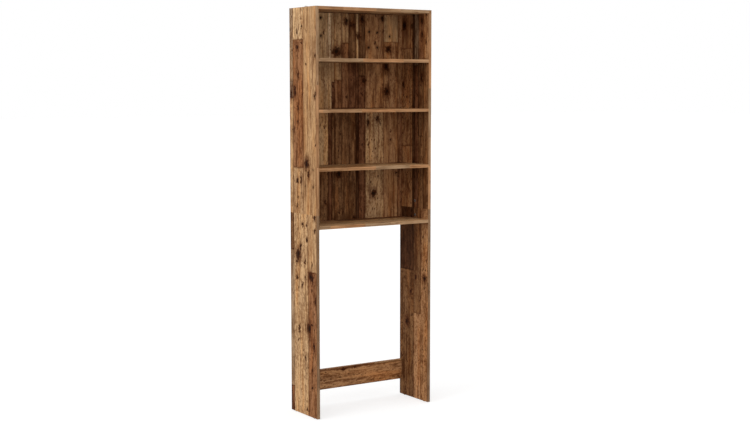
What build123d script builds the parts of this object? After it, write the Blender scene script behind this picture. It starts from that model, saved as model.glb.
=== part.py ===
from build123d import *
import os

# A tall open cabinet in coated chipboard: two sides in halves, five boards between them,
# a thin back behind the compartments and an open bay below. It knocks down flat: cam fittings
# pull the joints together, dowels line them up, and the back slides in grooves.
# Origin on the floor under the middle. X runs to the right, Y to the rear, Z up. Millimetres.

# Carcase
WIDTH = 640.0
DEPTH = 240.0
HEIGHT = 1900.0
BOARD = 15.0
EDGING = 0.5
BAY_HEIGHT = 885.0
TALL_COMPARTMENT = 252.0
SEAM_ABOVE_SHELF = 50.0

# Thin back in its grooves
BACK = 3.0
BACK_PLAY = 0.2
GROOVE_INSET = 8.0
GROOVE_DEPTH = 5.0
GROOVE_END_PLAY = 0.5

# Cross rail at the rear of the bay
RAIL_HEIGHT = 100.0
RAIL_LIFT = 80.0
RAIL_DOWEL_PITCH = 32.0

# Rows of fittings across the depth
FRONT_ROW = 48.0
REAR_ROW = 64.0

# Cam housing, a die-cast cup that turns in a blind bore
CAM_REACH = 34.0
CAM_RADIUS = 7.4
CAM_HEIGHT = 12.0
CAM_PLAY = 0.1
CAM_FLOOR_PLAY = 0.2
CAM_CAVITY_RADIUS = 5.75
CAM_PULL = 0.5
CAM_CROWN = 3.8
CAM_DRIVE_LENGTH = 8.0
CAM_DRIVE_WIDTH = 1.6
CAM_DRIVE_DEPTH = 2.6
CAM_MARK_LENGTH = 1.6
CAM_MARK_DEPTH = 0.6
CAM_SIDES = 14

# Cam bolt, screwed into one board and gripped by the cam in the other
BOLT_THREAD_RADIUS = 2.4
BOLT_THREAD_LENGTH = 11.0
BOLT_COLLAR_RADIUS = 3.6
BOLT_COLLAR = 1.2
BOLT_NECK_RADIUS = 2.2
BOLT_HEAD_RADIUS = 3.4
BOLT_HEAD = 2.8
BOLT_HEAD_CONE = 1.2
BOLT_GRIP = 0.6
BOLT_PLAY = 0.15
BOLT_BORE_RADIUS = 4.0
BOLT_SIDES = 8
PILOT_EXTRA = 1.0

# Fluted dowel
DOWEL_RADIUS = 4.0
DOWEL_IN_FACE = 10.0
DOWEL_IN_END = 20.0
DOWEL_PLAY = 0.1
DOWEL_END_PLAY = 0.5
DOWEL_CHAMFER = 0.8
DOWEL_SIDES = 8

# Nails through the back into the plain shelves
NAIL_RADIUS = 0.8
NAIL_LENGTH = 20.0
NAIL_HEAD_RADIUS = 2.2
NAIL_HEAD = 0.8
NAIL_PLAY = 0.1
NAIL_FROM_END = 90.0
NAIL_SIDES = 8

# Wall bracket, a bent steel angle on the top board
BRACKET_WIDTH = 18.0
BRACKET_FOOT = 26.0
BRACKET_RISE = 14.0
BRACKET_STEEL = 2.0
BRACKET_BEND = 1.5
BRACKET_CORNER = 3.0
BRACKET_HOLE_RADIUS = 2.25
BRACKET_FOOT_HOLE = 9.0
BRACKET_WALL_HOLE = 8.0
BRACKET_FROM_END = 75.0

# Pan-head screw that holds a bracket
SCREW_RADIUS = 1.6
SCREW_LENGTH = 11.0
SCREW_POINT = 3.0
SCREW_TIP_RADIUS = 0.4
SCREW_HEAD_RADIUS = 3.5
SCREW_HEAD = 2.2
SCREW_HEAD_CROWN = 0.8
SCREW_DRIVE_LENGTH = 4.0
SCREW_DRIVE_WIDTH = 0.9
SCREW_DRIVE_DEPTH = 1.3
SCREW_PLAY = 0.1
SCREW_SIDES = 10

# Push-in glide under a side
GLIDE_RADIUS = 6.5
GLIDE_HEIGHT = 3.0
GLIDE_EDGE = 0.8
GLIDE_STEM_RADIUS = 2.4
GLIDE_STEM = 12.0
GLIDE_PLAY = 0.1
GLIDE_FROM_EDGE = 36.0
GLIDE_SIDES = 12

# Cutters run this far past the faces that they open
OVERRUN = 2.0

# Levels and planes that follow
FRONT = -DEPTH / 2
REAR = DEPTH / 2
CORE_FRONT = FRONT + EDGING
INNER = WIDTH / 2 - BOARD
SIDE_MIDDLE = WIDTH / 2 - BOARD / 2
BOTTOM_SHELF = BAY_HEIGHT
LOWER_SHELF = BOTTOM_SHELF + BOARD + TALL_COMPARTMENT
MIDDLE_SHELF = LOWER_SHELF + BOARD + TALL_COMPARTMENT
TOP_BOARD = HEIGHT - BOARD
SHORT_COMPARTMENT = (TOP_BOARD - MIDDLE_SHELF - BOARD - BOARD) / 2
UPPER_SHELF = MIDDLE_SHELF + BOARD + SHORT_COMPARTMENT
SEAM = BOTTOM_SHELF + BOARD + SEAM_ABOVE_SHELF
GROOVE_REAR = REAR - GROOVE_INSET
GROOVE_FRONT = GROOVE_REAR - BACK - 2 * BACK_PLAY
BACK_FRONT = GROOVE_FRONT + BACK_PLAY
BACK_REAR = BACK_FRONT + BACK
BACK_GRIP = GROOVE_DEPTH - GROOVE_END_PLAY
FIRST_ROW = FRONT + FRONT_ROW
LAST_ROW = REAR - REAR_ROW
MIDDLE_ROW = (FIRST_ROW + LAST_ROW) / 2
RAIL_Y = REAR - BOARD / 2
RAIL_Z = RAIL_LIFT + RAIL_HEIGHT / 2

UP = (0, 0, 1)
DOWN = (0, 0, -1)
REARWARD = (0, 1, 0)
LOW = (Align.CENTER, Align.CENTER, Align.MIN)
LEFT_AND_RIGHT = (-1, 1)


def block(low, high):
    """A block between its lowest and its highest corner."""
    size = [b - a for a, b in zip(low, high)]
    return Pos(*low) * Box(*size, align=(Align.MIN, Align.MIN, Align.MIN))


def post(radius, bottom, top):
    """A round post on the Z axis between two heights."""
    return Pos(0, 0, bottom) * Cylinder(radius, top - bottom, align=LOW)


def prism(radius, sides, bottom, top):
    """A many-sided post on the Z axis, for the small round fittings that repeat."""
    return Pos(0, 0, bottom) * extrude(RegularPolygon(radius, sides), top - bottom)


def frustum(bottom_radius, top_radius, sides, bottom, top):
    """A tapered many-sided post on the Z axis."""
    low = Pos(0, 0, bottom) * RegularPolygon(bottom_radius, sides)
    high = Pos(0, 0, top) * RegularPolygon(top_radius, sides)
    return loft([low, high])


def along_joint(solid):
    """Lays a solid made on the Z axis along a joint's X axis."""
    return Rot(0, 90, 0) * solid


def group(solids):
    """Like pieces kept together as separate solids."""
    return Compound(children=list(solids))


# A joint frame has its origin where the fitting's axis crosses the joint, X into the board
# that is drawn up, and Z to the face from which its cam is turned.


def end_joint(side, y, board_bottom, drive):
    """The joint of a level board's end with a side."""
    origin = (side * INNER, y, board_bottom + BOARD / 2)
    return Plane(origin, x_dir=(-side, 0, 0), z_dir=drive)


def rail_joint(side, z):
    """The joint of the cross rail's end with a side."""
    return Plane((side * INNER, RAIL_Y, z), x_dir=(-side, 0, 0), z_dir=REARWARD)


def seam_joint(side, y, direction):
    """The joint between the halves of a side, seen from the half that lies in a direction."""
    return Plane((side * SIDE_MIDDLE, y, SEAM), x_dir=direction, z_dir=(-side, 0, 0))


def cam():
    """A cam housing, tightened: an eccentric cavity behind a neck slot, and a cross drive."""
    top = BOARD / 2
    bottom = top - CAM_HEIGHT
    crown = top - CAM_CROWN
    slot = BOLT_NECK_RADIUS + BOLT_PLAY
    mouth = BOLT_HEAD_RADIUS + BOLT_PLAY
    housing = prism(CAM_RADIUS, CAM_SIDES, bottom, top)
    cavity = Pos(CAM_PULL, 0, 0) * prism(CAM_CAVITY_RADIUS, CAM_SIDES, bottom - OVERRUN, crown)
    neck_slot = block(
        (-CAM_RADIUS - OVERRUN, -slot, -slot), (CAM_RADIUS, CAM_RADIUS + OVERRUN, slot)
    )
    entry = along_joint(prism(mouth, BOLT_SIDES, 0, CAM_RADIUS + OVERRUN))
    drive = [
        Pos(0, 0, top) * Rot(0, 0, turn) * Box(CAM_DRIVE_LENGTH, CAM_DRIVE_WIDTH, 2 * CAM_DRIVE_DEPTH)
        for turn in (0, 90)
    ]
    mark = Pos(CAM_RADIUS, 0, top) * Box(2 * CAM_MARK_LENGTH, CAM_MARK_DEPTH, 2 * CAM_MARK_DEPTH)
    return Pos(CAM_REACH, 0, 0) * (housing - cavity - neck_slot - entry - drive - mark)


def bolt_reach():
    """The neck and head of a cam bolt, from the joint to inside the cam."""
    shoulder = CAM_REACH + CAM_PULL - CAM_CAVITY_RADIUS + BOLT_GRIP
    cone_end = shoulder + BOLT_HEAD_CONE
    neck = prism(BOLT_NECK_RADIUS, BOLT_SIDES, 0, shoulder)
    cone = frustum(BOLT_NECK_RADIUS, BOLT_HEAD_RADIUS, BOLT_SIDES, shoulder, cone_end)
    head = prism(BOLT_HEAD_RADIUS, BOLT_SIDES, cone_end, shoulder + BOLT_HEAD)
    return along_joint(neck + cone + head)


def cam_bolt():
    """A bolt with a threaded end in the face of one board and its head in the other's cam."""
    thread = prism(BOLT_THREAD_RADIUS, BOLT_SIDES, -BOLT_THREAD_LENGTH, 0)
    collar = prism(BOLT_COLLAR_RADIUS, BOLT_SIDES, 0, BOLT_COLLAR)
    return bolt_reach() + along_joint(thread + collar)


def double_bolt():
    """A bolt with a head at each end, which draws two cams together across a seam."""
    reach = bolt_reach()
    return reach + mirror(reach, Plane.YZ)


def dowel(back, front):
    """A fluted dowel from one side of a joint to the other, its ends eased."""
    blank = prism(DOWEL_RADIUS - DOWEL_PLAY, DOWEL_SIDES, -back, front)
    rims = blank.faces().filter_by(Axis.Z).edges()
    return along_joint(chamfer(rims, DOWEL_CHAMFER))


def cam_bore():
    """What a cam and its bolt take out of the board that is drawn up."""
    top = BOARD / 2
    floor = top - CAM_HEIGHT - CAM_FLOOR_PLAY
    seat = prism(CAM_RADIUS + CAM_PLAY, CAM_SIDES, floor, top + OVERRUN)
    way = along_joint(prism(BOLT_BORE_RADIUS, BOLT_SIDES, -OVERRUN, CAM_REACH))
    return Pos(CAM_REACH, 0, 0) * seat + way


def pilot_bore():
    """What a cam bolt's thread takes out of a face."""
    depth = BOLT_THREAD_LENGTH + PILOT_EXTRA
    return along_joint(prism(BOLT_THREAD_RADIUS + BOLT_PLAY, BOLT_SIDES, -depth, OVERRUN))


def dowel_bore(depth):
    """A dowel's bore into the board that is drawn up."""
    return along_joint(prism(DOWEL_RADIUS, DOWEL_SIDES, -OVERRUN, depth + DOWEL_END_PLAY))


def dowel_face_bore():
    """A dowel's bore into the face that a board's end meets."""
    depth = DOWEL_IN_FACE + DOWEL_END_PLAY
    return along_joint(prism(DOWEL_RADIUS, DOWEL_SIDES, -depth, OVERRUN))


def level_board(bottom, rear):
    """A board between the sides, before boring."""
    return block((-INNER, CORE_FRONT, bottom), (INNER, rear, bottom + BOARD))


def front_strip(bottom):
    """The edging on the front of a level board."""
    return block((-INNER, FRONT, bottom), (INNER, CORE_FRONT, bottom + BOARD))


def back_groove(bottom, top):
    """The groove across a level board for an edge of the back."""
    return block((-INNER - OVERRUN, GROOVE_FRONT, bottom), (INNER + OVERRUN, GROOVE_REAR, top))


def joints_at(y, bottom, drive):
    """The two end joints of a level board in one row."""
    return [end_joint(side, y, bottom, drive) for side in LEFT_AND_RIGHT]


# Level boards: name, underside, the face its cams are turned from, and its grooves
GROOVED_BOARDS = {
    "top_board": (TOP_BOARD, UP),
    "middle_shelf": (MIDDLE_SHELF, DOWN),
    "bottom_shelf": (BOTTOM_SHELF, DOWN),
}
PLAIN_SHELVES = {"upper_shelf": UPPER_SHELF, "lower_shelf": LOWER_SHELF}
GROOVES = {
    "top_board": [back_groove(TOP_BOARD - OVERRUN, TOP_BOARD + GROOVE_DEPTH)],
    "middle_shelf": [
        back_groove(MIDDLE_SHELF - OVERRUN, MIDDLE_SHELF + GROOVE_DEPTH),
        back_groove(MIDDLE_SHELF + BOARD - GROOVE_DEPTH, MIDDLE_SHELF + BOARD + OVERRUN),
    ],
    "bottom_shelf": [
        back_groove(BOTTOM_SHELF + BOARD - GROOVE_DEPTH, BOTTOM_SHELF + BOARD + OVERRUN)
    ],
}


def nail_places():
    """Where the nails go: X along each plain shelf, and the shelf's middle height."""
    reach = INNER - NAIL_FROM_END
    heights = [bottom + BOARD / 2 for bottom in PLAIN_SHELVES.values()]
    return [(x, z) for z in heights for x in (-reach, reach)]


def nail_frame(x, z):
    """A frame on the rear face of the back, with Z to the rear."""
    return Plane((x, BACK_REAR, z), x_dir=(1, 0, 0), z_dir=REARWARD)


def nail():
    """A round-headed panel nail."""
    shank = prism(NAIL_RADIUS, NAIL_SIDES, -NAIL_LENGTH, 0)
    return shank + prism(NAIL_HEAD_RADIUS, NAIL_SIDES, 0, NAIL_HEAD)


def nail_bore():
    """The hole that a nail makes."""
    return prism(NAIL_RADIUS + NAIL_PLAY, NAIL_SIDES, -NAIL_LENGTH - NAIL_PLAY, OVERRUN)


def make_boards():
    """The five boards between the sides, with their cams, bolts, dowels and edgings."""
    nodes = {}
    for name, (bottom, drive) in GROOVED_BOARDS.items():
        cams = joints_at(FIRST_ROW, bottom, drive) + joints_at(LAST_ROW, bottom, drive)
        dowels = joints_at(MIDDLE_ROW, bottom, drive)
        bores = [joint * cam_bore() for joint in cams]
        bores += [joint * dowel_bore(DOWEL_IN_END) for joint in dowels]
        nodes[name] = level_board(bottom, REAR) - (bores + GROOVES[name])
        nodes[name + "_cams"] = group(joint * cam() for joint in cams)
        nodes[name + "_bolts"] = group(joint * cam_bolt() for joint in cams)
        nodes[name + "_dowels"] = group(joint * dowel(DOWEL_IN_FACE, DOWEL_IN_END) for joint in dowels)
        nodes[name + "_edging"] = front_strip(bottom)
    nail_holes = [nail_frame(x, z) * nail_bore() for x, z in nail_places()]
    for name, bottom in PLAIN_SHELVES.items():
        dowels = joints_at(FIRST_ROW, bottom, UP) + joints_at(LAST_ROW, bottom, UP)
        bores = [joint * dowel_bore(DOWEL_IN_END) for joint in dowels]
        nodes[name] = level_board(bottom, GROOVE_FRONT) - (bores + nail_holes)
        nodes[name + "_dowels"] = group(joint * dowel(DOWEL_IN_FACE, DOWEL_IN_END) for joint in dowels)
        nodes[name + "_edging"] = front_strip(bottom)
    return nodes


def make_back():
    """The two thin panels of the back and the nails through them."""
    reach = INNER + BACK_GRIP
    spans = {
        "upper_back_panel": (MIDDLE_SHELF + BOARD - BACK_GRIP, TOP_BOARD + BACK_GRIP),
        "lower_back_panel": (BOTTOM_SHELF + BOARD - BACK_GRIP, MIDDLE_SHELF + BACK_GRIP),
    }
    holes = [nail_frame(x, z) * nail_bore() for x, z in nail_places()]
    nodes = {
        name: block((-reach, BACK_FRONT, bottom), (reach, BACK_REAR, top)) - holes
        for name, (bottom, top) in spans.items()
    }
    nodes["back_panel_nails"] = group(nail_frame(x, z) * nail() for x, z in nail_places())
    return nodes


def make_rail():
    """The cross rail with its fittings and the edging on its two long edges."""
    top = RAIL_LIFT + RAIL_HEIGHT
    front = REAR - BOARD
    cams = [rail_joint(side, RAIL_Z) for side in LEFT_AND_RIGHT]
    dowels = [rail_joint(side, RAIL_Z - RAIL_DOWEL_PITCH) for side in LEFT_AND_RIGHT]
    dowels += [rail_joint(side, RAIL_Z + RAIL_DOWEL_PITCH) for side in LEFT_AND_RIGHT]
    bores = [joint * cam_bore() for joint in cams]
    bores += [joint * dowel_bore(DOWEL_IN_END) for joint in dowels]
    core = block((-INNER, front, RAIL_LIFT + EDGING), (INNER, REAR, top - EDGING))
    return {
        "rear_rail": core - bores,
        "rail_cams": group(joint * cam() for joint in cams),
        "rail_bolts": group(joint * cam_bolt() for joint in cams),
        "rail_dowels": group(joint * dowel(DOWEL_IN_FACE, DOWEL_IN_END) for joint in dowels),
        "rail_edging": group(
            [
                block((-INNER, front, RAIL_LIFT), (INNER, REAR, RAIL_LIFT + EDGING)),
                block((-INNER, front, top - EDGING), (INNER, REAR, top)),
            ]
        ),
    }


def face_bores(side):
    """Every bore in a side's inner face for the boards and the rail."""
    bores = []
    for bottom, drive in GROOVED_BOARDS.values():
        bores += [end_joint(side, y, bottom, drive) * pilot_bore() for y in (FIRST_ROW, LAST_ROW)]
        bores.append(end_joint(side, MIDDLE_ROW, bottom, drive) * dowel_face_bore())
    for bottom in PLAIN_SHELVES.values():
        bores += [end_joint(side, y, bottom, UP) * dowel_face_bore() for y in (FIRST_ROW, LAST_ROW)]
    bores.append(rail_joint(side, RAIL_Z) * pilot_bore())
    for z in (RAIL_Z - RAIL_DOWEL_PITCH, RAIL_Z + RAIL_DOWEL_PITCH):
        bores.append(rail_joint(side, z) * dowel_face_bore())
    return bores


def seam_bores(side, direction):
    """The bores of one half of a side at the seam: a cam in the middle, a dowel each side."""
    half_dowel = (DOWEL_IN_FACE + DOWEL_IN_END) / 2
    bores = [seam_joint(side, y, direction) * dowel_bore(half_dowel) for y in (FIRST_ROW, LAST_ROW)]
    return [seam_joint(side, MIDDLE_ROW, direction) * cam_bore()] + bores


def side_panel(side, bottom, top, bores):
    """A half of a side, bored, and grooved for the back down to the bottom shelf."""
    near, far = sorted((side * INNER, side * WIDTH / 2))
    reach = INNER + GROOVE_DEPTH
    groove = block(
        (-reach, GROOVE_FRONT, BOTTOM_SHELF + BOARD - GROOVE_DEPTH),
        (reach, GROOVE_REAR, HEIGHT + OVERRUN),
    )
    return block((near, CORE_FRONT, bottom), (far, REAR, top)) - (bores + [groove])


def make_sides():
    """The four halves of the sides and their edgings."""
    nodes = {}
    for side, word in zip(LEFT_AND_RIGHT, ("left", "right")):
        near, far = sorted((side * INNER, side * WIDTH / 2))
        bores = face_bores(side)
        glide_holes = [frame * glide_bore() for frame in glide_frames() if frame.origin.X * side > 0]
        nodes[f"upper_{word}_side"] = side_panel(
            side, SEAM, HEIGHT - EDGING, bores + seam_bores(side, UP)
        )
        nodes[f"lower_{word}_side"] = side_panel(
            side, GLIDE_HEIGHT, SEAM, bores + seam_bores(side, DOWN) + glide_holes
        )
        nodes[f"upper_{word}_side_edging"] = group(
            [
                block((near, FRONT, SEAM), (far, CORE_FRONT, HEIGHT)),
                block((near, CORE_FRONT, HEIGHT - EDGING), (far, REAR, HEIGHT)),
            ]
        )
        nodes[f"lower_{word}_side_edging"] = block(
            (near, FRONT, GLIDE_HEIGHT), (far, CORE_FRONT, SEAM)
        )
    return nodes


def make_seams():
    """The double bolts, cams and dowels between the halves of the sides."""
    bolts = [seam_joint(side, MIDDLE_ROW, UP) for side in LEFT_AND_RIGHT]
    cams = bolts + [seam_joint(side, MIDDLE_ROW, DOWN) for side in LEFT_AND_RIGHT]
    dowels = [seam_joint(side, y, UP) for side in LEFT_AND_RIGHT for y in (FIRST_ROW, LAST_ROW)]
    half_dowel = (DOWEL_IN_FACE + DOWEL_IN_END) / 2
    return {
        "seam_bolts": group(joint * double_bolt() for joint in bolts),
        "seam_cams": group(joint * cam() for joint in cams),
        "seam_dowels": group(joint * dowel(half_dowel, half_dowel) for joint in dowels),
    }


def glide_frames():
    """Frames on the lower edges of the sides, with Z up into the board."""
    rows = (FRONT + GLIDE_FROM_EDGE, REAR - GLIDE_FROM_EDGE)
    return [Plane((side * SIDE_MIDDLE, y, GLIDE_HEIGHT)) for side in LEFT_AND_RIGHT for y in rows]


def glide_bore():
    """The hole for a glide's stem."""
    return prism(GLIDE_STEM_RADIUS + GLIDE_PLAY, GLIDE_SIDES, -OVERRUN, GLIDE_STEM + GLIDE_PLAY)


def glide():
    """A push-in glide: a pad with an eased rim and a stem."""
    pad = prism(GLIDE_RADIUS, GLIDE_SIDES, -GLIDE_HEIGHT, 0)
    rim = pad.faces().sort_by(Axis.Z)[0].edges()
    return chamfer(rim, GLIDE_EDGE) + prism(GLIDE_STEM_RADIUS, GLIDE_SIDES, 0, GLIDE_STEM)


def bracket_frames():
    """Frames on the top board's upper face at its rear edge, one per bracket, Y to the rear."""
    reach = INNER - BRACKET_FROM_END
    return [Plane((side * reach, REAR, HEIGHT)) for side in LEFT_AND_RIGHT]


def bracket():
    """A bent angle: its foot lies on the board, its rise stands against the wall."""
    outline = Polyline(
        (-BRACKET_FOOT, 0),
        (0, 0),
        (0, BRACKET_RISE),
        (-BRACKET_STEEL, BRACKET_RISE),
        (-BRACKET_STEEL, BRACKET_STEEL),
        (-BRACKET_FOOT, BRACKET_STEEL),
        close=True,
    )
    strip = extrude(Plane.YZ * make_face(outline), BRACKET_WIDTH / 2, both=True)
    outer_bend = strip.edges().filter_by(Axis.X).sort_by_distance((0, 0, 0))[0]
    strip = fillet(outer_bend, BRACKET_BEND + BRACKET_STEEL)
    inner_bend = strip.edges().filter_by(Axis.X).sort_by_distance((0, -BRACKET_STEEL, BRACKET_STEEL))[0]
    strip = fillet(inner_bend, BRACKET_BEND)
    corners = strip.edges().filter_by(Axis.Z).group_by(Axis.Y)[0]
    corners += strip.edges().filter_by(Axis.Y).group_by(Axis.Z)[-1]
    strip = chamfer(corners, BRACKET_CORNER)
    through = post(BRACKET_HOLE_RADIUS, -OVERRUN, BRACKET_STEEL + OVERRUN)
    foot_hole = Pos(0, BRACKET_FOOT_HOLE - BRACKET_FOOT, 0) * through
    wall_hole = Pos(0, 0, BRACKET_WALL_HOLE) * Rot(90, 0, 0) * through
    return strip - foot_hole - wall_hole


def screw():
    """A pan-head screw with a cross drive, from the top of a bracket's foot downwards."""
    flange = SCREW_HEAD - SCREW_HEAD_CROWN
    crown = SCREW_HEAD_RADIUS - SCREW_HEAD_CROWN
    body = prism(SCREW_RADIUS, SCREW_SIDES, SCREW_POINT - SCREW_LENGTH, 0)
    body += frustum(SCREW_TIP_RADIUS, SCREW_RADIUS, SCREW_SIDES, -SCREW_LENGTH, SCREW_POINT - SCREW_LENGTH)
    body += prism(SCREW_HEAD_RADIUS, SCREW_SIDES, 0, flange)
    body += frustum(SCREW_HEAD_RADIUS, crown, SCREW_SIDES, flange, SCREW_HEAD)
    drive = [
        Pos(0, 0, SCREW_HEAD) * Rot(0, 0, turn) * Box(
            SCREW_DRIVE_LENGTH, SCREW_DRIVE_WIDTH, 2 * SCREW_DRIVE_DEPTH
        )
        for turn in (0, 90)
    ]
    return body - drive


def make_wall_fixing():
    """The two brackets and their screws."""
    frames = bracket_frames()
    seat = Pos(0, BRACKET_FOOT_HOLE - BRACKET_FOOT, BRACKET_STEEL)
    left, right = [frame * bracket() for frame in frames]
    return {
        "wall_bracket_left": left,
        "wall_bracket_right": right,
        "bracket_screws": group(frame * seat * screw() for frame in frames),
    }


def bore_for_screws(top_board):
    """The top board with the holes of the bracket screws."""
    depth = SCREW_LENGTH - BRACKET_STEEL + SCREW_PLAY
    hole = Pos(0, BRACKET_FOOT_HOLE - BRACKET_FOOT, 0) * prism(
        SCREW_RADIUS + SCREW_PLAY, SCREW_SIDES, -depth, OVERRUN
    )
    return top_board - [frame * hole for frame in bracket_frames()]


def main():
    """Makes every piece and writes one file per node."""
    nodes = make_boards() | make_back() | make_rail() | make_sides() | make_seams() | make_wall_fixing()
    nodes["top_board"] = bore_for_screws(nodes["top_board"])
    nodes["floor_glides"] = group(frame * glide() for frame in glide_frames())
    os.makedirs("parts", exist_ok=True)
    for name, shape in nodes.items():
        export_step(shape, f"parts/{name}.step")


main()
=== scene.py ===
"""Looks of a tall open cabinet in a printed reclaimed-plank decor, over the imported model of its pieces."""

import logging
import math
from collections.abc import Callable
from dataclasses import dataclass
from enum import Enum

import bpy
import numpy as np
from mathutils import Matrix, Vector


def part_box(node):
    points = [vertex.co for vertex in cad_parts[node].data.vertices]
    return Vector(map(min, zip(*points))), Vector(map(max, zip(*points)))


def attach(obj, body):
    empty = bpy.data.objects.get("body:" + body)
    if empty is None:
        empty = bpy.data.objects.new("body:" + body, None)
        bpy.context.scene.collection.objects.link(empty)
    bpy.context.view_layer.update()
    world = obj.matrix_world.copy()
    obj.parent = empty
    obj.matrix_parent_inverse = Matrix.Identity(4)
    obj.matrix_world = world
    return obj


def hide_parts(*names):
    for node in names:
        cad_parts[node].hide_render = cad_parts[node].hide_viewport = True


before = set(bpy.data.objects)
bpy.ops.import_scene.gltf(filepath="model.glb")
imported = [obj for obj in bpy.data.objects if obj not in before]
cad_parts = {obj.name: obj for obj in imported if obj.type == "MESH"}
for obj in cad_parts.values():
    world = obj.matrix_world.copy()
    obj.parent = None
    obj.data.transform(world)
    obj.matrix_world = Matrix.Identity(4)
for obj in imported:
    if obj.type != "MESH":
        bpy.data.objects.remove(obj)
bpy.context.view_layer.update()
LOG = logging.getLogger("cabinet")

Point = tuple[float, float, float]
Colour = tuple[float, float, float, float]
Body = tuple[np.ndarray, np.ndarray]
Socket = bpy.types.NodeSocket
Material = bpy.types.Material

MM = 0.001
RAMP_CELLS = 255
SMALLEST_SPOT = 0.27
OUT_OF_REACH = 40.0
WHITE = (1.0, 1.0, 1.0, 1.0)
RIGHT, REARWARD, UP = (1.0, 0.0, 0.0), (0.0, 1.0, 0.0), (0.0, 0.0, 1.0)
BOTH = (-1.0, 1.0)


def corners(node: str) -> tuple[Point, Point]:
    """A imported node's lowest and highest corner, in millimetres."""
    low, high = (tuple(round(value / MM, 3) for value in corner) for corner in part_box(node))
    return low, high


@dataclass(frozen=True)
class Planes:
    """The planes that the cabinet's pieces share, in millimetres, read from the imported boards."""

    inner: float
    outer: float
    front: float
    rear: float
    seam: float

    @classmethod
    def read(cls) -> "Planes":
        """Reads them from the lower half of the right side and its edging."""
        low, high = corners("lower_right_side")
        front = corners("lower_right_side_edging")[0][1]
        return cls(low[0], high[0], front, high[1], high[2])

    @property
    def side_middle(self) -> float:
        """How far a side's middle plane lies from the cabinet's."""
        return (self.inner + self.outer) / 2

    @property
    def depth(self) -> float:
        """How deep the cabinet is."""
        return self.rear - self.front


PLANES = Planes.read()


# Colours of the print


def linear(red: float, green: float, blue: float) -> Colour:
    """Turns a screen colour into the linear colour that a shader takes.

    Args:
        red, green, blue: the screen colour, each from 0 to 255.

    Returns:
        The linear colour with an alpha of 1.
    """
    screen = np.array([red, green, blue]) / 255.0
    high = ((screen + 0.055) / 1.055) ** 2.4
    return (*np.where(screen <= 0.04045, screen / 12.92, high).tolist(), 1.0)


class Tone(Enum):
    """The ground colour of a printed plank."""

    BONE = linear(222, 190, 152)
    CREAM = linear(203, 166, 124)
    HONEY = linear(184, 146, 106)
    TAN = linear(174, 135, 96)
    ROSE = linear(171, 126, 88)
    AMBER = linear(159, 114, 76)
    CHESTNUT = linear(139, 95, 63)
    WALNUT = linear(121, 84, 54)
    RUSSET = linear(112, 72, 47)
    EMBER = linear(80, 50, 31)
    SMOKE = linear(130, 102, 77)
    ASH = linear(158, 128, 98)


class Ink(Enum):
    """What knots, nails, cracks and pin holes are printed in."""

    PIN_HOLE = linear(54, 26, 11)
    CRACK = linear(40, 20, 9)
    KNOT_HALO = linear(86, 43, 20)
    KNOT_HEART = linear(22, 9, 3)
    KNOT_RING = linear(70, 34, 15)
    RUST = linear(76, 38, 17)
    NAIL_HOLE = linear(24, 11, 5)
    GAP = linear(36, 22, 14)
    EDGING_KNOT = linear(84, 50, 30)


class Tint(Enum):
    """What a tone is multiplied by: for the light and dark of its grain, its stains and its drifts."""

    PALE = (1.32, 1.36, 1.35, 1.0)
    DEEP = (0.49, 0.40, 0.34, 1.0)
    BLACK = (0.26, 0.15, 0.09, 1.0)
    WARM = (1.13, 0.94, 0.74, 1.0)
    GREY = (0.96, 1.00, 1.10, 1.0)
    EDGING_PALE = (1.30, 1.30, 1.28, 1.0)
    EDGING_DEEP = (0.58, 0.50, 0.42, 1.0)


# How a finish is written down


def operator(kind: str, swapped: bool = False) -> Callable:
    """A Python operator that adds one Math node.

    Args:
        kind: the node's operation.
        swapped: whether the other number comes first, as in 1 - mask.

    Returns:
        The method for the operator.
    """

    def apply(self: "Term", other: "Term | float") -> "Term":
        """Adds the node."""
        return self.recipe.math(kind, *((other, self) if swapped else (self, other)))

    return apply


class Term:
    """A number that a shader works out: Python arithmetic on it adds Math nodes."""

    __add__, __radd__ = operator("ADD"), operator("ADD", swapped=True)
    __sub__, __rsub__ = operator("SUBTRACT"), operator("SUBTRACT", swapped=True)
    __mul__, __rmul__ = operator("MULTIPLY"), operator("MULTIPLY", swapped=True)
    __truediv__, __rtruediv__ = operator("DIVIDE"), operator("DIVIDE", swapped=True)
    __gt__, __lt__ = operator("GREATER_THAN"), operator("LESS_THAN")

    def __init__(self, recipe: "Graph", socket: Socket) -> None:
        """Wraps one output socket of a node tree."""
        self.recipe = recipe
        self.socket = socket

    def __abs__(self) -> "Term":
        """This without its sign."""
        return self.recipe.math("ABSOLUTE", self)

    def fade(self, start: "Term | float", stop: "Term | float") -> "Term":
        """A smooth step from 0 at the start to 1 at the stop, which may lie below the start."""
        smooth = {"interpolation_type": "SMOOTHSTEP"}
        node = self.recipe.node("MapRange", smooth, {0: self, 1: start, 2: stop})
        return Term(self.recipe, node.outputs[0])


Link = Term | Socket | Enum | float | tuple


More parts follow.
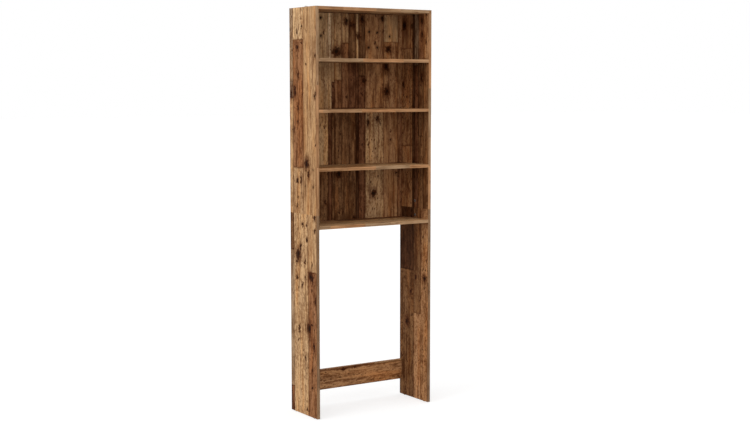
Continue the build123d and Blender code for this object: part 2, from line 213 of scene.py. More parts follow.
class Graph:
    """A node tree, and the only place where nodes are made."""

    def __init__(self, tree: bpy.types.NodeTree) -> None:
        """Empties the tree."""
        self.tree = tree
        tree.nodes.clear()

    def node(self, kind: str, settings: dict | None = None, sockets: dict | None = None) -> bpy.types.Node:
        """Adds a node, sets it and fills its inputs.

        Args:
            kind: the node's type, without the ShaderNode in front.
            settings: what is set on the node itself; "stops" lists a ramp's places and colours.
            sockets: a value or a link for each input, by its name or number.

        Returns:
            The node.
        """
        node = self.tree.nodes.new("ShaderNode" + kind)
        for name, setting in (settings or {}).items():
            if name == "stops":
                self.fill_ramp(node.color_ramp, setting)
            else:
                setattr(node, name, setting)
        for key, value in (sockets or {}).items():
            source = value.socket if isinstance(value, Term) else value
            if isinstance(source, Socket):
                self.tree.links.new(source, node.inputs[key])
            else:
                node.inputs[key].default_value = source.value if isinstance(source, Enum) else source
        return node

    @staticmethod
    def fill_ramp(ramp: bpy.types.ColorRamp, stops: list[tuple[float, tuple]]) -> None:
        """Makes a ramp of steps.

        Args:
            ramp: the ramp.
            stops: each step's place and colour, in order of place.
        """
        ramp.interpolation = "CONSTANT"
        ramp.elements.remove(ramp.elements[1])
        first, *rest = stops
        ramp.elements[0].position, ramp.elements[0].color = first
        for place, colour in rest:
            ramp.elements.new(place).color = colour

    def math(self, operation: str, *values: Link) -> Term:
        """One Math node."""
        return Term(self, self.node("Math", {"operation": operation}, dict(enumerate(values))).outputs[0])

    def least(self, first: Link, second: Link) -> Term:
        """The smaller of two numbers."""
        return self.math("MINIMUM", first, second)

    def most(self, first: Link, second: Link) -> Term:
        """The larger of two numbers."""
        return self.math("MAXIMUM", first, second)

    def split(self, vector: Socket) -> tuple[Term, Term, Term]:
        """The three parts of a vector or a colour."""
        parts = self.node("SeparateXYZ", sockets={0: vector}).outputs
        return Term(self, parts[0]), Term(self, parts[1]), Term(self, parts[2])

    def join(self, first: Link, second: Link, third: Link = 0.0) -> Socket:
        """A vector of three numbers."""
        return self.node("CombineXYZ", sockets={0: first, 1: second, 2: third}).outputs[0]

    def vector(self, operation: str, *values: Link) -> Socket:
        """One Vector Math node that gives a vector."""
        return self.node("VectorMath", {"operation": operation}, dict(enumerate(values))).outputs[0]

    def stretch(self, vector: Link, *factors: float) -> Socket:
        """A vector times one factor, or times a factor for each part, where a third left out is 1."""
        return self.vector("MULTIPLY", vector, factors * 3 if len(factors) == 1 else (*factors, 1.0)[:3])

    def length(self, vector: Socket) -> Term:
        """How long a vector is."""
        return Term(self, self.node("VectorMath", {"operation": "LENGTH"}, {0: vector}).outputs["Value"])

    def noise(
        self, place: Link, *cells: float, detail: float = 2.0, rough: float = 0.5, bend: float = 0.0
    ) -> Term:
        """Smooth noise about 0.5.

        Args:
            place: where the noise is looked up.
            cells: how many cells there are to the metre, all three ways or each way.
            detail: how many finer layers it has.
            rough: how strong those layers are.
            bend: how far it is distorted.

        Returns:
            The noise.
        """
        vector = self.stretch(place, *cells) if cells else place
        sockets = {"Vector": vector, "Scale": 1.0, "Detail": detail, "Roughness": rough, "Distortion": bend}
        return Term(self, self.node("TexNoise", sockets=sockets).outputs[0])

    def cells(self, dimensions: str, **sockets: Link) -> tuple[Term, Term, Term]:
        """Random cells.

        Args:
            dimensions: 1D, 2D or 3D.
            sockets: the inputs of the cell texture.

        Returns:
            Two random shares of the cell round a point, and how far off its middle the point is.
        """
        outputs = self.node("TexVoronoi", {"voronoi_dimensions": dimensions}, sockets).outputs
        pick, dice, _ = self.split(outputs["Color"])
        return pick, dice, Term(self, outputs["Distance"])

    def mix(self, share: Link, first: Link, second: Link, blend: str = "MIX") -> Socket:
        """Goes from the first colour to the second by a share from 0 to 1."""
        settings = {"data_type": "RGBA", "blend_type": blend}
        return self.node("Mix", settings, {0: share, 6: first, 7: second}).outputs[2]

    def tint(self, colour: Link, tint: Tint) -> Socket:
        """A colour times a tint."""
        return self.mix(1.0, colour, tint, "MULTIPLY")

    def coats(self, colour: Link, *coats: tuple[Link, Link]) -> Socket:
        """A colour with coats laid over it in turn, each given as its share and its own colour."""
        for share, coat in coats:
            colour = self.mix(share, colour, coat)
        return colour

    def blend(self, share: Term, first: Link, second: Link) -> Term:
        """Goes from the first number to the second by a share from 0 to 1."""
        node = self.node("Mix", {"data_type": "FLOAT"}, {0: share, 2: first, 3: second})
        return Term(self, node.outputs[0])

    def seen(self) -> Term:
        """1 for what the eye meets: straight on, in a reflection or through glass."""
        ray = self.node("LightPath").outputs
        return self.most(self.most(ray["Is Camera Ray"], ray["Is Glossy Ray"]), ray["Is Transmission Ray"])


class Recipe(Graph):
    """The node tree of one finish."""

    def __init__(self, name: str) -> None:
        """Starts an empty material.

        Args:
            name: what the material is called.
        """
        self.material = bpy.data.materials.new(name)
        self.material.use_nodes = True
        super().__init__(self.material.node_tree)
        self.place = self.node("TexCoord").outputs["Object"]
        self.axes = self.split(self.place)
        self.facing = self.split(self.node("NewGeometry").outputs["True Normal"])

    def finish(self, colour: Link, roughness: Link, height: Link, depth: float, **fixed: float) -> Material:
        """Ends the recipe in a Principled shader.

        Args:
            colour: the base colour.
            roughness: the roughness.
            height: the relief from 0 to 1.
            depth: how deep the relief is, in metres.
            fixed: other inputs of the shader that are the same all over, with _ for a space.

        Returns:
            The finished material.
        """
        bump = self.node("Bump", sockets={"Strength": 1.0, "Distance": depth, "Height": height})
        sockets = {"Base Color": colour, "Roughness": roughness, "Normal": bump.outputs[0]}
        sockets.update({name.replace("_", " "): value for name, value in fixed.items()})
        shader = self.node("BsdfPrincipled", sockets=sockets)
        self.node("OutputMaterial", sockets={0: shader.outputs[0]})
        return self.material


# The printed decor of the boards and their edgings


@dataclass(frozen=True)
class Strip:
    """One row of planks in the print: where it ends across the sheet, and its planks from the start up.

    The joints are the heights in millimetres between the first and second, and the second and
    third plank. A row of fewer planks leaves its joints out.
    """

    end: float
    tones: tuple[Tone, ...]
    joints: tuple[float, ...]


def row(end: float, tones: str, *joints: float) -> Strip:
    """A row of planks, its tones given by their names."""
    return Strip(end, tuple(Tone[name] for name in tones.split()), joints)


@dataclass(frozen=True)
class Spot:
    """A knot or a nail hole: its place across and along the sheet in millimetres, and its size."""

    across: float
    along: float
    radius: float
    stretch: float


def spots(*places: tuple[float, float, float, float]) -> tuple[Spot, ...]:
    """Spots, each given as its place across and along, its radius, and its length over its width."""
    return tuple(Spot(*place) for place in places)


@dataclass(frozen=True)
class Plank:
    """The plank under a point: its tone, its own random shares, and how far off its nearest edge is."""

    tone: Socket
    dice: Socket
    edge: Term


@dataclass(frozen=True)
class Sheet:
    """A printed sheet: rows of planks side by side, with the knots and nail holes that stand out.

    The numbering is what a row, a joint and the next joint add to a plank's number. From that
    number come its random shares.
    """

    strips: tuple[Strip, ...]
    knots: tuple[Spot, ...]
    nails: tuple[Spot, ...]
    seed: float
    width: float = 2 * PLANES.depth
    length: float = 2000.0
    numbering: Point = (61.0, 17.3, 29.1)

    def edges(self) -> list[float]:
        """The strips' edges across the sheet, moved to the nearest cell of a ramp."""
        return [0.0] + [round(strip.end / self.width * RAMP_CELLS) / RAMP_CELLS for strip in self.strips]

    def joint_values(self) -> list[Point]:
        """The two joints of each strip, as shares of twice the sheet's length."""
        twice = 2 * self.length
        pairs = [(*strip.joints, twice, twice)[:2] for strip in self.strips]
        return [(first / twice, second / twice, 0.0) for first, second in pairs]

    def tone_values(self, plank: int) -> list[Point]:
        """The colour of one plank in each strip, the last one's where there are fewer."""
        return [strip.tones[min(plank, len(strip.tones) - 1)].value[:3] for strip in self.strips]

    def plank(self, recipe: Recipe, across: Term, along: Term) -> Plank:
        """Looks up the plank under a point.

        Args:
            recipe: the finish that is being written.
            across, along: where the point lies on the sheet, in metres.

        Returns:
            The plank.
        """
        width, twice = self.width * MM, 2 * self.length * MM
        place, height = across / width, along / twice
        edges, count = self.edges(), len(self.strips)
        steps = [max(0.0, edge - 0.5 / RAMP_CELLS) for edge in edges[:-1]]

        def ramp(values: list[Point]) -> Socket:
            """A ramp that steps from strip to strip, half a cell before each one's edge."""
            stops = [(step, (*value, 1.0)) for step, value in zip(steps, values)]
            return recipe.node("ValToRGB", {"stops": stops}, {0: place}).outputs[0]

        spans = [(edges[i], edges[i + 1], (i + 0.5) / count) for i in range(count)]
        start, stop, number = recipe.split(ramp(spans))
        joint, next_joint, _ = recipe.split(ramp(self.joint_values()))
        past, past_next = height > joint, height > next_joint
        tone = recipe.mix(past, ramp(self.tone_values(0)), ramp(self.tone_values(1)))
        tone = recipe.mix(past_next, tone, ramp(self.tone_values(2)))
        by_row, by_joint, by_next = self.numbering
        number = number * by_row + past * by_joint + past_next * by_next + self.seed
        dice = recipe.node("TexWhiteNoise", {"noise_dimensions": "1D"}, {"W": number}).outputs["Color"]
        side = recipe.least(place - start, stop - place) * width
        end = recipe.least(abs(height - joint), abs(height - next_joint)) * twice
        return Plank(tone, dice, recipe.least(side, end))


def nearest(recipe: Recipe, point: Socket, placed: tuple[Spot, ...]) -> Term:
    """The way to the nearest spot of those that have a place of their own.

    Args:
        recipe: the finish that is being written.
        point: a place on the sheet.
        placed: the spots.

    Returns:
        How far the place lies from the nearest spot, where 1 is the spot's edge.
    """
    reach = None
    for spot in placed:
        wide = 1 / (spot.radius * MM)
        away = recipe.vector("SUBTRACT", point, (spot.across * MM, spot.along * MM, 0.0))
        one = recipe.length(recipe.stretch(away, wide, wide / spot.stretch, 0.0))
        reach = one if reach is None else recipe.least(reach, one)
    return reach


def scattered(recipe: Recipe, point: Link, cells: tuple[float, float], share: float, size: float) -> Term:
    """Spots strewn over the sheet: a share of the cells hold one, each of its own size.

    Args:
        recipe: the finish that is being written.
        point: a place on the sheet.
        cells: how many cells there are to the metre across and along.
        share: the share of the cells with a spot.
        size: the radius of the largest spots, in cells.

    Returns:
        How far the place lies from the nearest spot, where 1 is the spot's edge.
    """
    place = recipe.stretch(point, *cells)
    pick, dice, away = recipe.cells("2D", Vector=place, Scale=1.0, Randomness=0.9)
    radius = SMALLEST_SPOT * size + (1 - SMALLEST_SPOT) * size * dice * dice
    return away / radius + (pick > share) * OUT_OF_REACH


def chipboard(recipe: Recipe) -> tuple[Socket, Term]:
    """Raw chipboard: flat chips of many browns, with fine dust between them.

    Args:
        recipe: the finish that is being written.

    Returns:
        Its colour and its relief.
    """
    shade, warm, _ = recipe.cells("3D", Vector=recipe.place, Scale=520.0)
    dust = recipe.noise(recipe.place, 1500.0)
    colour = recipe.mix(shade, linear(150, 118, 82), linear(206, 178, 138))
    colour = recipe.mix(warm.fade(0.72, 0.95) * 0.6, colour, linear(112, 78, 48))
    colour = recipe.mix(dust.fade(0.55, 0.72) * 0.5, colour, linear(92, 66, 44))
    return colour, shade * 0.6 + dust * 0.4


def fibreboard(recipe: Recipe) -> tuple[Socket, Term]:
    """The plain rear of thin fibreboard: even brown, with short matted fibres.

    Args:
        recipe: the finish that is being written.

    Returns:
        Its colour and its relief.
    """
    felt = recipe.noise(recipe.place, 900.0, 900.0, 260.0, detail=3.0, rough=0.6, bend=1.2)
    flow = recipe.noise(recipe.place, 14.0, 14.0, 9.0, detail=3.0)
    speck = recipe.noise(recipe.place, 420.0, detail=1.0)
    colour = recipe.mix(felt.fade(0.3, 0.7), linear(122, 90, 62), linear(166, 130, 94))
    colour = recipe.mix(flow.fade(0.35, 0.7) * 0.35, colour, linear(138, 98, 64))
    colour = recipe.mix(speck.fade(0.68, 0.76) * 0.6, colour, linear(80, 54, 36))
    return colour, felt


class PlankPrint:
    """The printed face as it is written down.

    A plank has a tone of its own, growth lines that arch and close, streaks and fibres along it,
    knots that the lines flow round, nail holes with rust below them, cracks, and a dark gap at
    its edges. The shifts are how far apart planks are cut from the wood, so that no two are alike.
    """

    shifts: Point = (7.0, 11.0, 5.0)
    gap: tuple[float, float] = (0.0011, 0.0002)
    rim: float = 0.008
    knot_cells: tuple[float, float] = (24.0, 13.0)
    knot_share: float = 0.24
    knot_size: float = 0.15
    prick_cells: tuple[float, float] = (66.0, 38.0)
    prick_share: float = 0.55
    prick_size: float = 0.27

    def __init__(self, recipe: Recipe, sheet: Sheet, across: Term, along: Term) -> None:
        """Works out what the colour and the relief share.

        Args:
            recipe: the finish that is being written.
            sheet: the sheet.
            across, along: where a point lies on the sheet, in metres.
        """
        self.recipe = recipe
        self.plank = sheet.plank(recipe, across, along)
        self.first, self.second, self.third = first, second, third = recipe.split(self.plank.dice)
        self.age = recipe.split(self.plank.tone)[1].fade(0.34, 0.06)
        wide, tall, deep = self.shifts
        self.own = recipe.join(across + first * wide, along + second * tall, third * deep)
        sway = self.cloud(11.0, 2.2, 2.0) - 0.5
        self.knot, self.prick, self.nail = self.faults(sheet, recipe.join(across, along))
        swell = recipe.math("EXPONENT", self.knot * self.knot * -0.16)
        flowing = across + sway * 0.014 + swell * 0.010 + first * wide
        self.flow = recipe.join(flowing, along + second * tall, third * deep)
        self.streak = self.grain(84.0, 4.0, 4.0, 0.66)
        self.fine = self.grain(310.0, 12.0, 3.0, 0.6)
        self.fibre = self.grain(1300.0, 34.0, 1.0)
        self.pores = self.grain(900.0, 75.0, 1.0).fade(0.62, 0.72)
        self.patch = self.cloud(40.0, 13.0, 4.0, 0.68)
        self.ring = self.growth_lines(across, along, sway, swell)

    def cloud(self, wide: float, tall: float, detail: float, rough: float = 0.5) -> Term:
        """Noise of so many cells to the metre across and along the plank."""
        return self.recipe.noise(self.own, wide, tall, detail=detail, rough=rough)

    def grain(self, wide: float, tall: float, detail: float, rough: float = 0.5) -> Term:
        """The same noise where it follows the sway of the grain and bends round the knots."""
        return self.recipe.noise(self.flow, wide, tall, detail=detail, rough=rough)

    def faults(self, sheet: Sheet, point: Socket) -> tuple[Term, Term, Term]:
        """The knots, the pin holes and the nail holes, all with ragged rims.

        Args:
            sheet: the sheet.
            point: a place on it.

        Returns:
            How far the place lies from the nearest of each kind, where 1 is its edge.
        """
        recipe = self.recipe
        inputs = {"Vector": point, "Scale": 70.0, "Detail": 3.0}
        ragged = recipe.node("TexNoise", {"noise_dimensions": "2D"}, inputs).outputs["Color"]
        nudge = recipe.stretch(recipe.vector("SUBTRACT", ragged, (0.5, 0.5, 0.5)), 0.026)
        loose = recipe.vector("ADD", point, nudge)
        firm = recipe.vector("ADD", point, recipe.stretch(nudge, 0.30))
        strewn = scattered(recipe, loose, self.knot_cells, self.knot_share, self.knot_size)
        prick = scattered(recipe, firm, self.prick_cells, self.prick_share, self.prick_size)
        knot = recipe.least(strewn, nearest(recipe, loose, sheet.knots))
        return knot, prick, nearest(recipe, firm, sheet.nails)

    def growth_lines(self, across: Term, along: Term, sway: Term, swell: Term) -> Term:
        """The growth lines, from 0 to 1.

        They are circles about a heart line that wanders under the face, so they arch and close
        along the plank, and they bulge round each knot.

        Args:
            across, along: where a point lies on the sheet, in metres.
            sway: how far the grain sways aside there.
            swell: how near a knot is, from 0 to 1.

        Returns:
            The growth lines.
        """
        recipe, second, third = self.recipe, self.second, self.third
        heart = recipe.noise(recipe.join(along * 1.1 + second * 9.0, third * 4.0), detail=1.0) - 0.5
        bent = across + sway * 0.022 - (self.first - 0.5) * 0.16
        spread = recipe.math("SQRT", bent * bent + heart * heart * 0.035)
        rings = (spread + swell * 0.016) / (0.0042 + 0.0050 * third)
        phase = recipe.math("FRACT", rings + self.cloud(60.0, 4.0, 2.0) * 0.8)
        return phase.fade(0.15, 0.9) * phase.fade(1.0, 0.93)

    def wood(self, deep: Socket) -> Socket:
        """Clean wood: light and dark along its streaks, and warmer or greyer in long drifts.

        Args:
            deep: the plank's tone at its darkest.

        Returns:
            The wood's colour.
        """
        recipe, tone, age = self.recipe, self.plank.tone, self.age
        mottle, drift = self.cloud(105.0, 70.0, 2.0, 0.6), self.cloud(26.0, 3.0, 2.0)
        level = 0.595 + (self.streak - 0.5) * (1.8 + 1.5 * age)
        level = level + (self.fine - 0.5) * 1.2 + (self.fibre - 0.5) * 0.3
        level = level + (self.patch - 0.5) * (0.8 + 1.8 * age)
        level = level + (mottle - 0.5) * (0.35 + 1.4 * self.second) - (self.ring - 0.25) * 0.24
        colour = recipe.mix(level.fade(0.0, 1.0), deep, recipe.tint(tone, Tint.PALE))
        warm, grey = recipe.tint(colour, Tint.WARM), recipe.tint(colour, Tint.GREY)
        browner, greyer = drift.fade(0.50, 0.66) * 0.7, drift.fade(0.50, 0.34) * 0.6
        return recipe.coats(colour, (browner, warm), (greyer, grey))

    def write(self) -> tuple[Socket, Term, Term]:
        """Lays the stains, the knots, the nail holes, the cracks and the gaps over the wood.

        Returns:
            The face's colour, its relief and its roughness.
        """
        recipe, knot, nail, patch, streak = self.recipe, self.knot, self.nail, self.patch, self.streak
        first, second, age, edge = self.first, self.second, self.age, self.plank.edge
        deep, black = recipe.tint(self.plank.tone, Tint.DEEP), recipe.tint(self.plank.tone, Tint.BLACK)
        stain = self.cloud(40.0, 10.0, 3.0, 0.62).fade(0.56, 0.68)
        fleck = self.grain(180.0, 40.0, 2.0, 0.6).fade(0.59, 0.67)
        speck = self.grain(380.0, 110.0, 1.0).fade(0.62, 0.70)
        spotty = 0.08 + 0.50 * second + 0.36 * age
        cluster = 0.15 + 1.35 * patch.fade(0.42, 0.60)
        near, halo = knot.fade(3.6, 1.2), knot.fade(2.7, 0.9)
        crack = abs(self.grain(24.0, 1.1, 3.0, 0.55) - 0.5).fade(0.009 + near * 0.016, 0.0)
        crack = crack * recipe.most(patch.fade(0.50, 0.60), near)
        eye = recipe.math("SINE", knot * 9.0 + self.fine * 3.0) * 0.5 + 0.5
        heartwood = recipe.mix(eye * knot.fade(0.1, 0.7), Ink.KNOT_HEART, Ink.KNOT_RING)
        gap = edge.fade(*self.gap)
        rim = (edge + (patch - 0.5) * 0.020).fade(self.rim, 0.0)
        colour = recipe.coats(
            self.wood(deep),
            (stain * (0.08 + 0.15 * second + 0.40 * age), black),
            (fleck * spotty, black),
            (speck * spotty * 0.8, black),
            (recipe.least(self.prick.fade(1.3, 0.7) * spotty * cluster, 0.92), Ink.PIN_HOLE),
            (self.pores * 0.35, deep),
            (crack * 0.75, Ink.CRACK),
            (halo * 0.6, Ink.KNOT_HALO),
            (knot.fade(1.22, 0.86) * 0.96, heartwood),
            (nail.fade(3.4, 0.9) * 0.45, Ink.RUST),
            (nail.fade(1.2, 0.75) * 0.95, Ink.NAIL_HOLE),
            (rim * (0.15 + 0.45 * first + 0.3 * age), black),
            (gap * (0.15 + 0.5 * streak), Ink.GAP),
        )
        height = 0.62 + (self.fine - 0.5) * 0.35 + (self.fibre - 0.5) * 0.3 + self.ring * 0.10 - gap * 0.5
        height = height - crack * 0.35 - self.pores * 0.15 - knot.fade(1.15, 0.9) * 0.12
        return colour, height, 0.50 + streak * 0.14 - halo * 0.06 + gap * 0.2


class Wrap(Enum):
    """How a sheet goes round a board, and which way it runs.

    Each is the axis that the board's faces look along, the axis across the sheet, the axis along
    it, and 1 or -1 for the face that comes first: the one that looks up or down the first axis.
    """

    LEFT_SIDE = (0, 1, 2, -1)
    RIGHT_SIDE = (0, 1, 2, 1)
    LEVEL = (2, 1, 0, 1)
    RAIL = (1, 2, 0, -1)
    BACK = (1, 0, 2, -1)


@dataclass(frozen=True)
class PlankDecor:
    """A board faced with the printed decor on both faces, and raw chipboard wherever it is cut.

    The sheet starts at one plane across the board, runs a width up the first face, and comes back
    down the other one. The back has it on its front face only, and plain fibreboard behind.
    """

    piece: str
    sheet: Sheet
    wrap: Wrap
    middle: float = 0.0
    shift: float = 0.0
    start: float = PLANES.front
    width: float = PLANES.depth
    film: float = 0.1
    relief: float = 0.00025

    def layout(self, recipe: Recipe) -> tuple[Term, Term, Term]:
        """Where a point lies across and along the sheet, and whether it is on a printed face.

        Args:
            recipe: the finish that is being written.

        Returns:
            Metres across the sheet, metres along it, and 1 on a printed face.
        """
        normal, over, up, first_face = self.wrap.value
        place, facing = recipe.axes, recipe.facing[normal]
        along = place[up] + self.shift * MM
        if self.wrap is Wrap.BACK:
            return place[over] + self.sheet.width / 2 * MM, along, facing * first_face > 0.5
        centre = place[normal] - self.middle * MM
        first = place[over] - self.start * MM
        across = recipe.blend(centre * first_face > 0.0, 2 * self.width * MM - first, first)
        skin_plane = (PLANES.outer - PLANES.inner) / 2 - self.film
        return across, along, (abs(centre) > skin_plane * MM) * (abs(facing) > 0.5)

    def material(self) -> Material:
        """Writes the finish.

        Returns:
            Its material.
        """
        recipe = Recipe(self.piece + "_decor")
        across, along, faced = self.layout(recipe)
        colour, height, roughness = PlankPrint(recipe, self.sheet, across, along).write()
        raw, raw_height = (fibreboard if self.wrap is Wrap.BACK else chipboard)(recipe)
        colour, height = recipe.mix(faced, raw, colour), recipe.blend(faced, raw_height, height)
        roughness = recipe.blend(faced, 0.88, roughness)
        return recipe.finish(colour, roughness, height, self.relief, Specular_IOR_Level=0.015)


class Run(Enum):
    """Which way a strip of edging runs."""

    LEVEL = "level"
    UPRIGHT = "upright"


# Edging tones: the lower halves of the sides take the greyer, darker set; the upper halves, the level boards
# and the rail take the warmer one.
WARMER_EDGING = (Tone.ASH, Tone.ROSE, Tone.AMBER)
GREYER_EDGING = (Tone.SMOKE, Tone.SMOKE, Tone.ASH)


@dataclass(frozen=True)
class EdgingDecor:
    """Printed edging: the grain runs along the strip, and its tone changes from length to length."""

    piece: str
    run: Run
    seed: float
    tones: tuple[Tone, Tone, Tone] = WARMER_EDGING
    lengths: float = 5.2
    relief: float = 0.00012

    def material(self) -> Material:
        """Writes the finish.

        Returns:
            Its material.
        """
        recipe = Recipe(self.piece + "_decor")
        x, y, z = recipe.axes
        if self.run is Run.UPRIGHT:
            across, along = x, recipe.blend(abs(recipe.facing[2]) > 0.5, z, y)
        else:
            across, along = z + y, x
        pick, tint, _ = recipe.cells("1D", W=along * self.lengths + self.seed, Scale=1.0)
        point = recipe.join(across + pick * 3.0, along + tint * 5.0, self.seed)
        streak = recipe.noise(point, 170.0, 5.0, detail=3.0, rough=0.6)
        fine = recipe.noise(point, 900.0, 26.0, detail=2.0, rough=0.6)
        cloud = recipe.noise(point, 30.0, 11.0, detail=2.0, rough=0.6)
        first, second, third = self.tones
        ground = recipe.mix(pick.fade(0.1, 0.9), first, second)
        ground = recipe.mix(tint.fade(0.55, 0.9) * 0.6, ground, third)
        pale, deep = recipe.tint(ground, Tint.EDGING_PALE), recipe.tint(ground, Tint.EDGING_DEEP)
        level = 0.50 + (streak - 0.5) * 1.9 + (fine - 0.5) * 0.7 + (cloud - 0.5) * 1.0
        lucky, _, away = recipe.cells("2D", Vector=recipe.stretch(point, 60.0, 14.0), Scale=1.0)
        knot = away.fade(0.22, 0.06) * (lucky < 0.16)
        colour = recipe.coats(deep, (level.fade(0.0, 1.0), pale), (knot * 0.7, Ink.EDGING_KNOT))
        height = 0.5 + (fine - 0.5) * 0.6 + (streak - 0.5) * 0.3
        return recipe.finish(colour, 0.46 + streak * 0.14, height, self.relief, Specular_IOR_Level=0.08)


# Metal, dowel wood and plastic


@dataclass(frozen=True)
class Metal:
    """A plated or cast metal: its colour, how dull it is, and how coarse its skin is."""

    name: str
    colour: Colour
    tarnish: Colour
    roughness: float
    cells: float
    relief: float

    def material(self) -> Material:
        """Writes the finish.

        Returns:
            Its material.
        """
        recipe = Recipe(self.name)
        skin = recipe.noise(recipe.place, self.cells, detail=3.0, rough=0.6)
        cloud = recipe.noise(recipe.place, self.cells / 9)
        colour = recipe.mix(cloud.fade(0.42, 0.68) * 0.7, self.colour, self.tarnish)
        roughness = self.roughness + (skin - 0.5) * 0.25 + (cloud - 0.5) * 0.15
        return recipe.finish(colour, roughness, skin, self.relief, Metallic=1.0)


@dataclass(frozen=True)
class Beech:
    """Plain beech dowelling: pale pink-brown with short dark flecks along the grain."""

    name: str
    relief: float = 0.0001

    def material(self) -> Material:
        """Writes the finish.

        Returns:
            Its material.
        """
        recipe = Recipe(self.name)
        fibre = recipe.noise(recipe.place, 60.0, 700.0, 700.0, detail=3.0, rough=0.6)
        fleck = recipe.noise(recipe.place, 260.0, 1500.0, 1500.0, detail=1.0)
        colour = recipe.mix(fibre.fade(0.3, 0.7), linear(186, 146, 106), linear(216, 180, 138))
        colour = recipe.mix(fleck.fade(0.62, 0.70) * 0.55, colour, linear(140, 96, 62))
        return recipe.finish(colour, 0.62 + fibre * 0.1, fibre, self.relief, Specular_IOR_Level=0.3)


@dataclass(frozen=True)
class GlidePlastic:
    """Dark brown moulded plastic with a fine grain and pale scuffs."""

    name: str
    relief: float = 0.00008

    def material(self) -> Material:
        """Writes the finish.

        Returns:
            Its material.
        """
        recipe = Recipe(self.name)
        skin = recipe.noise(recipe.place, 2400.0)
        scuff = recipe.noise(recipe.place, 90.0, 420.0, 300.0, detail=3.0)
        colour = recipe.mix(scuff.fade(0.58, 0.78) * 0.6, linear(52, 38, 29), linear(104, 84, 66))
        return recipe.finish(colour, 0.42 + scuff * 0.2, skin, self.relief, Specular_IOR_Level=0.45)


# What is printed on each board

LEFT_UPPER = Sheet(
    (
        row(115, "TAN"),
        row(209, "TAN CHESTNUT CREAM", 1165, 1754),
        row(240, "HONEY SMOKE ASH", 1487, 1565),
        row(296, "CHESTNUT TAN", 1340),
        row(388, "HONEY RUSSET", 1610),
        row(480, "WALNUT AMBER", 1230),
    ),
    knots=spots(
        (88, 1184, 18, 1.15), (70, 1140, 7, 2.4), (190, 1516, 9, 2.6), (165, 1445, 5, 2.4),
        (163, 1377, 5, 2.0), (200, 1337, 5, 2.2), (160, 1591, 5, 2.4), (170, 1722, 9, 1.5),
        (229, 1505, 7, 3.0), (8, 1496, 6, 2.2), (139, 1110, 5, 3.4), (172, 1102, 6, 1.6),
        (340, 1420, 12, 1.5),
    ),
    nails=spots(
        (167, 1783, 3.4, 1.5), (29, 1160, 3.2, 1.2), (93, 1152, 3.2, 1.2), (99, 1081, 3.2, 1.7),
        (29, 1080, 3.2, 1.7), (167, 1026, 3.6, 1.8), (236, 1800, 3.4, 1.8), (238, 1729, 3.0, 1.6),
        (310, 1200, 3.2, 1.4), (365, 1200, 3.2, 1.4),
    ),
    seed=2.0,
)

LEFT_LOWER = Sheet(
    (
        row(80, "CHESTNUT HONEY", 684),
        row(209, "HONEY"),
        row(240, "RUSSET ASH WALNUT", 124, 775),
        row(330, "AMBER CHESTNUT", 430),
        row(402, "HONEY"),
        row(480, "WALNUT TAN", 560),
    ),
    knots=spots(
        (170, 757, 21, 1.1), (145, 792, 7, 2.4), (180, 724, 8, 1.0), (107, 730, 6, 1.3),
        (18, 938, 8, 1.5), (18, 878, 6, 1.3), (54, 664, 17, 1.2), (38, 650, 8, 2.6),
        (180, 649, 8, 1.1), (107, 651, 6, 1.6), (131, 615, 6, 1.4), (13, 553, 6, 2.2),
        (160, 407, 7, 2.3), (74, 419, 20, 1.1), (27, 339, 7, 2.8), (107, 274, 4, 1.5),
    ),
    nails=spots(
        (41, 717, 3.6, 2.2), (41, 226, 4.0, 1.8), (43, 143, 4.0, 1.5), (300, 700, 3.2, 1.5),
        (355, 700, 3.2, 1.5),
    ),
    seed=31.0,
)

RIGHT_UPPER = Sheet(
    (
        row(88, "HONEY TAN", 1290),
        row(150, "CHESTNUT AMBER", 1540),
        row(240, "ASH WALNUT", 1180),
        row(345, "AMBER AMBER AMBER", 1250, 1724),
        row(361, "EMBER"),
        row(395, "RUSSET SMOKE", 1640),
        row(436, "WALNUT WALNUT CHESTNUT", 1300, 1652),
        row(480, "WALNUT AMBER", 1660),
    ),
    knots=spots(
        (273, 1834, 15, 1.6), (268, 1545, 8, 1.8), (422, 1852, 8, 1.8), (426, 1784, 7, 2.0),
        (352, 1757, 6, 3.0), (422, 1579, 9, 2.4), (60, 1400, 14, 1.5), (190, 1650, 12, 1.7),
    ),
    nails=spots((20, 1240, 3.2, 1.4), (70, 1240, 3.2, 1.4), (180, 1220, 3.2, 1.4)),
    seed=57.0,
)

RIGHT_LOWER = Sheet(
    (
        row(102, "TAN HONEY", 520),
        row(186, "AMBER CHESTNUT", 300),
        row(240, "HONEY ASH", 640),
        # Painted shadow: the EMBER plank above 640 mm in this row lies on the rear half of the inner face,
        # up to the seam near the bottom shelf. It is a plank of the print made darker to stand in for the
        # shade that a washing machine in front of the cabinet throws there.
        row(360, "WALNUT EMBER", 640),
        row(420, "ROSE WALNUT", 430),
        row(480, "AMBER"),
    ),
    knots=spots((50, 720, 13, 1.5), (140, 420, 12, 1.6), (300, 380, 13, 1.4), (450, 610, 9, 1.8)),
    nails=spots((25, 480, 3.4, 1.5), (80, 482, 3.4, 1.5), (450, 560, 3.4, 1.5)),
    seed=83.0,
)

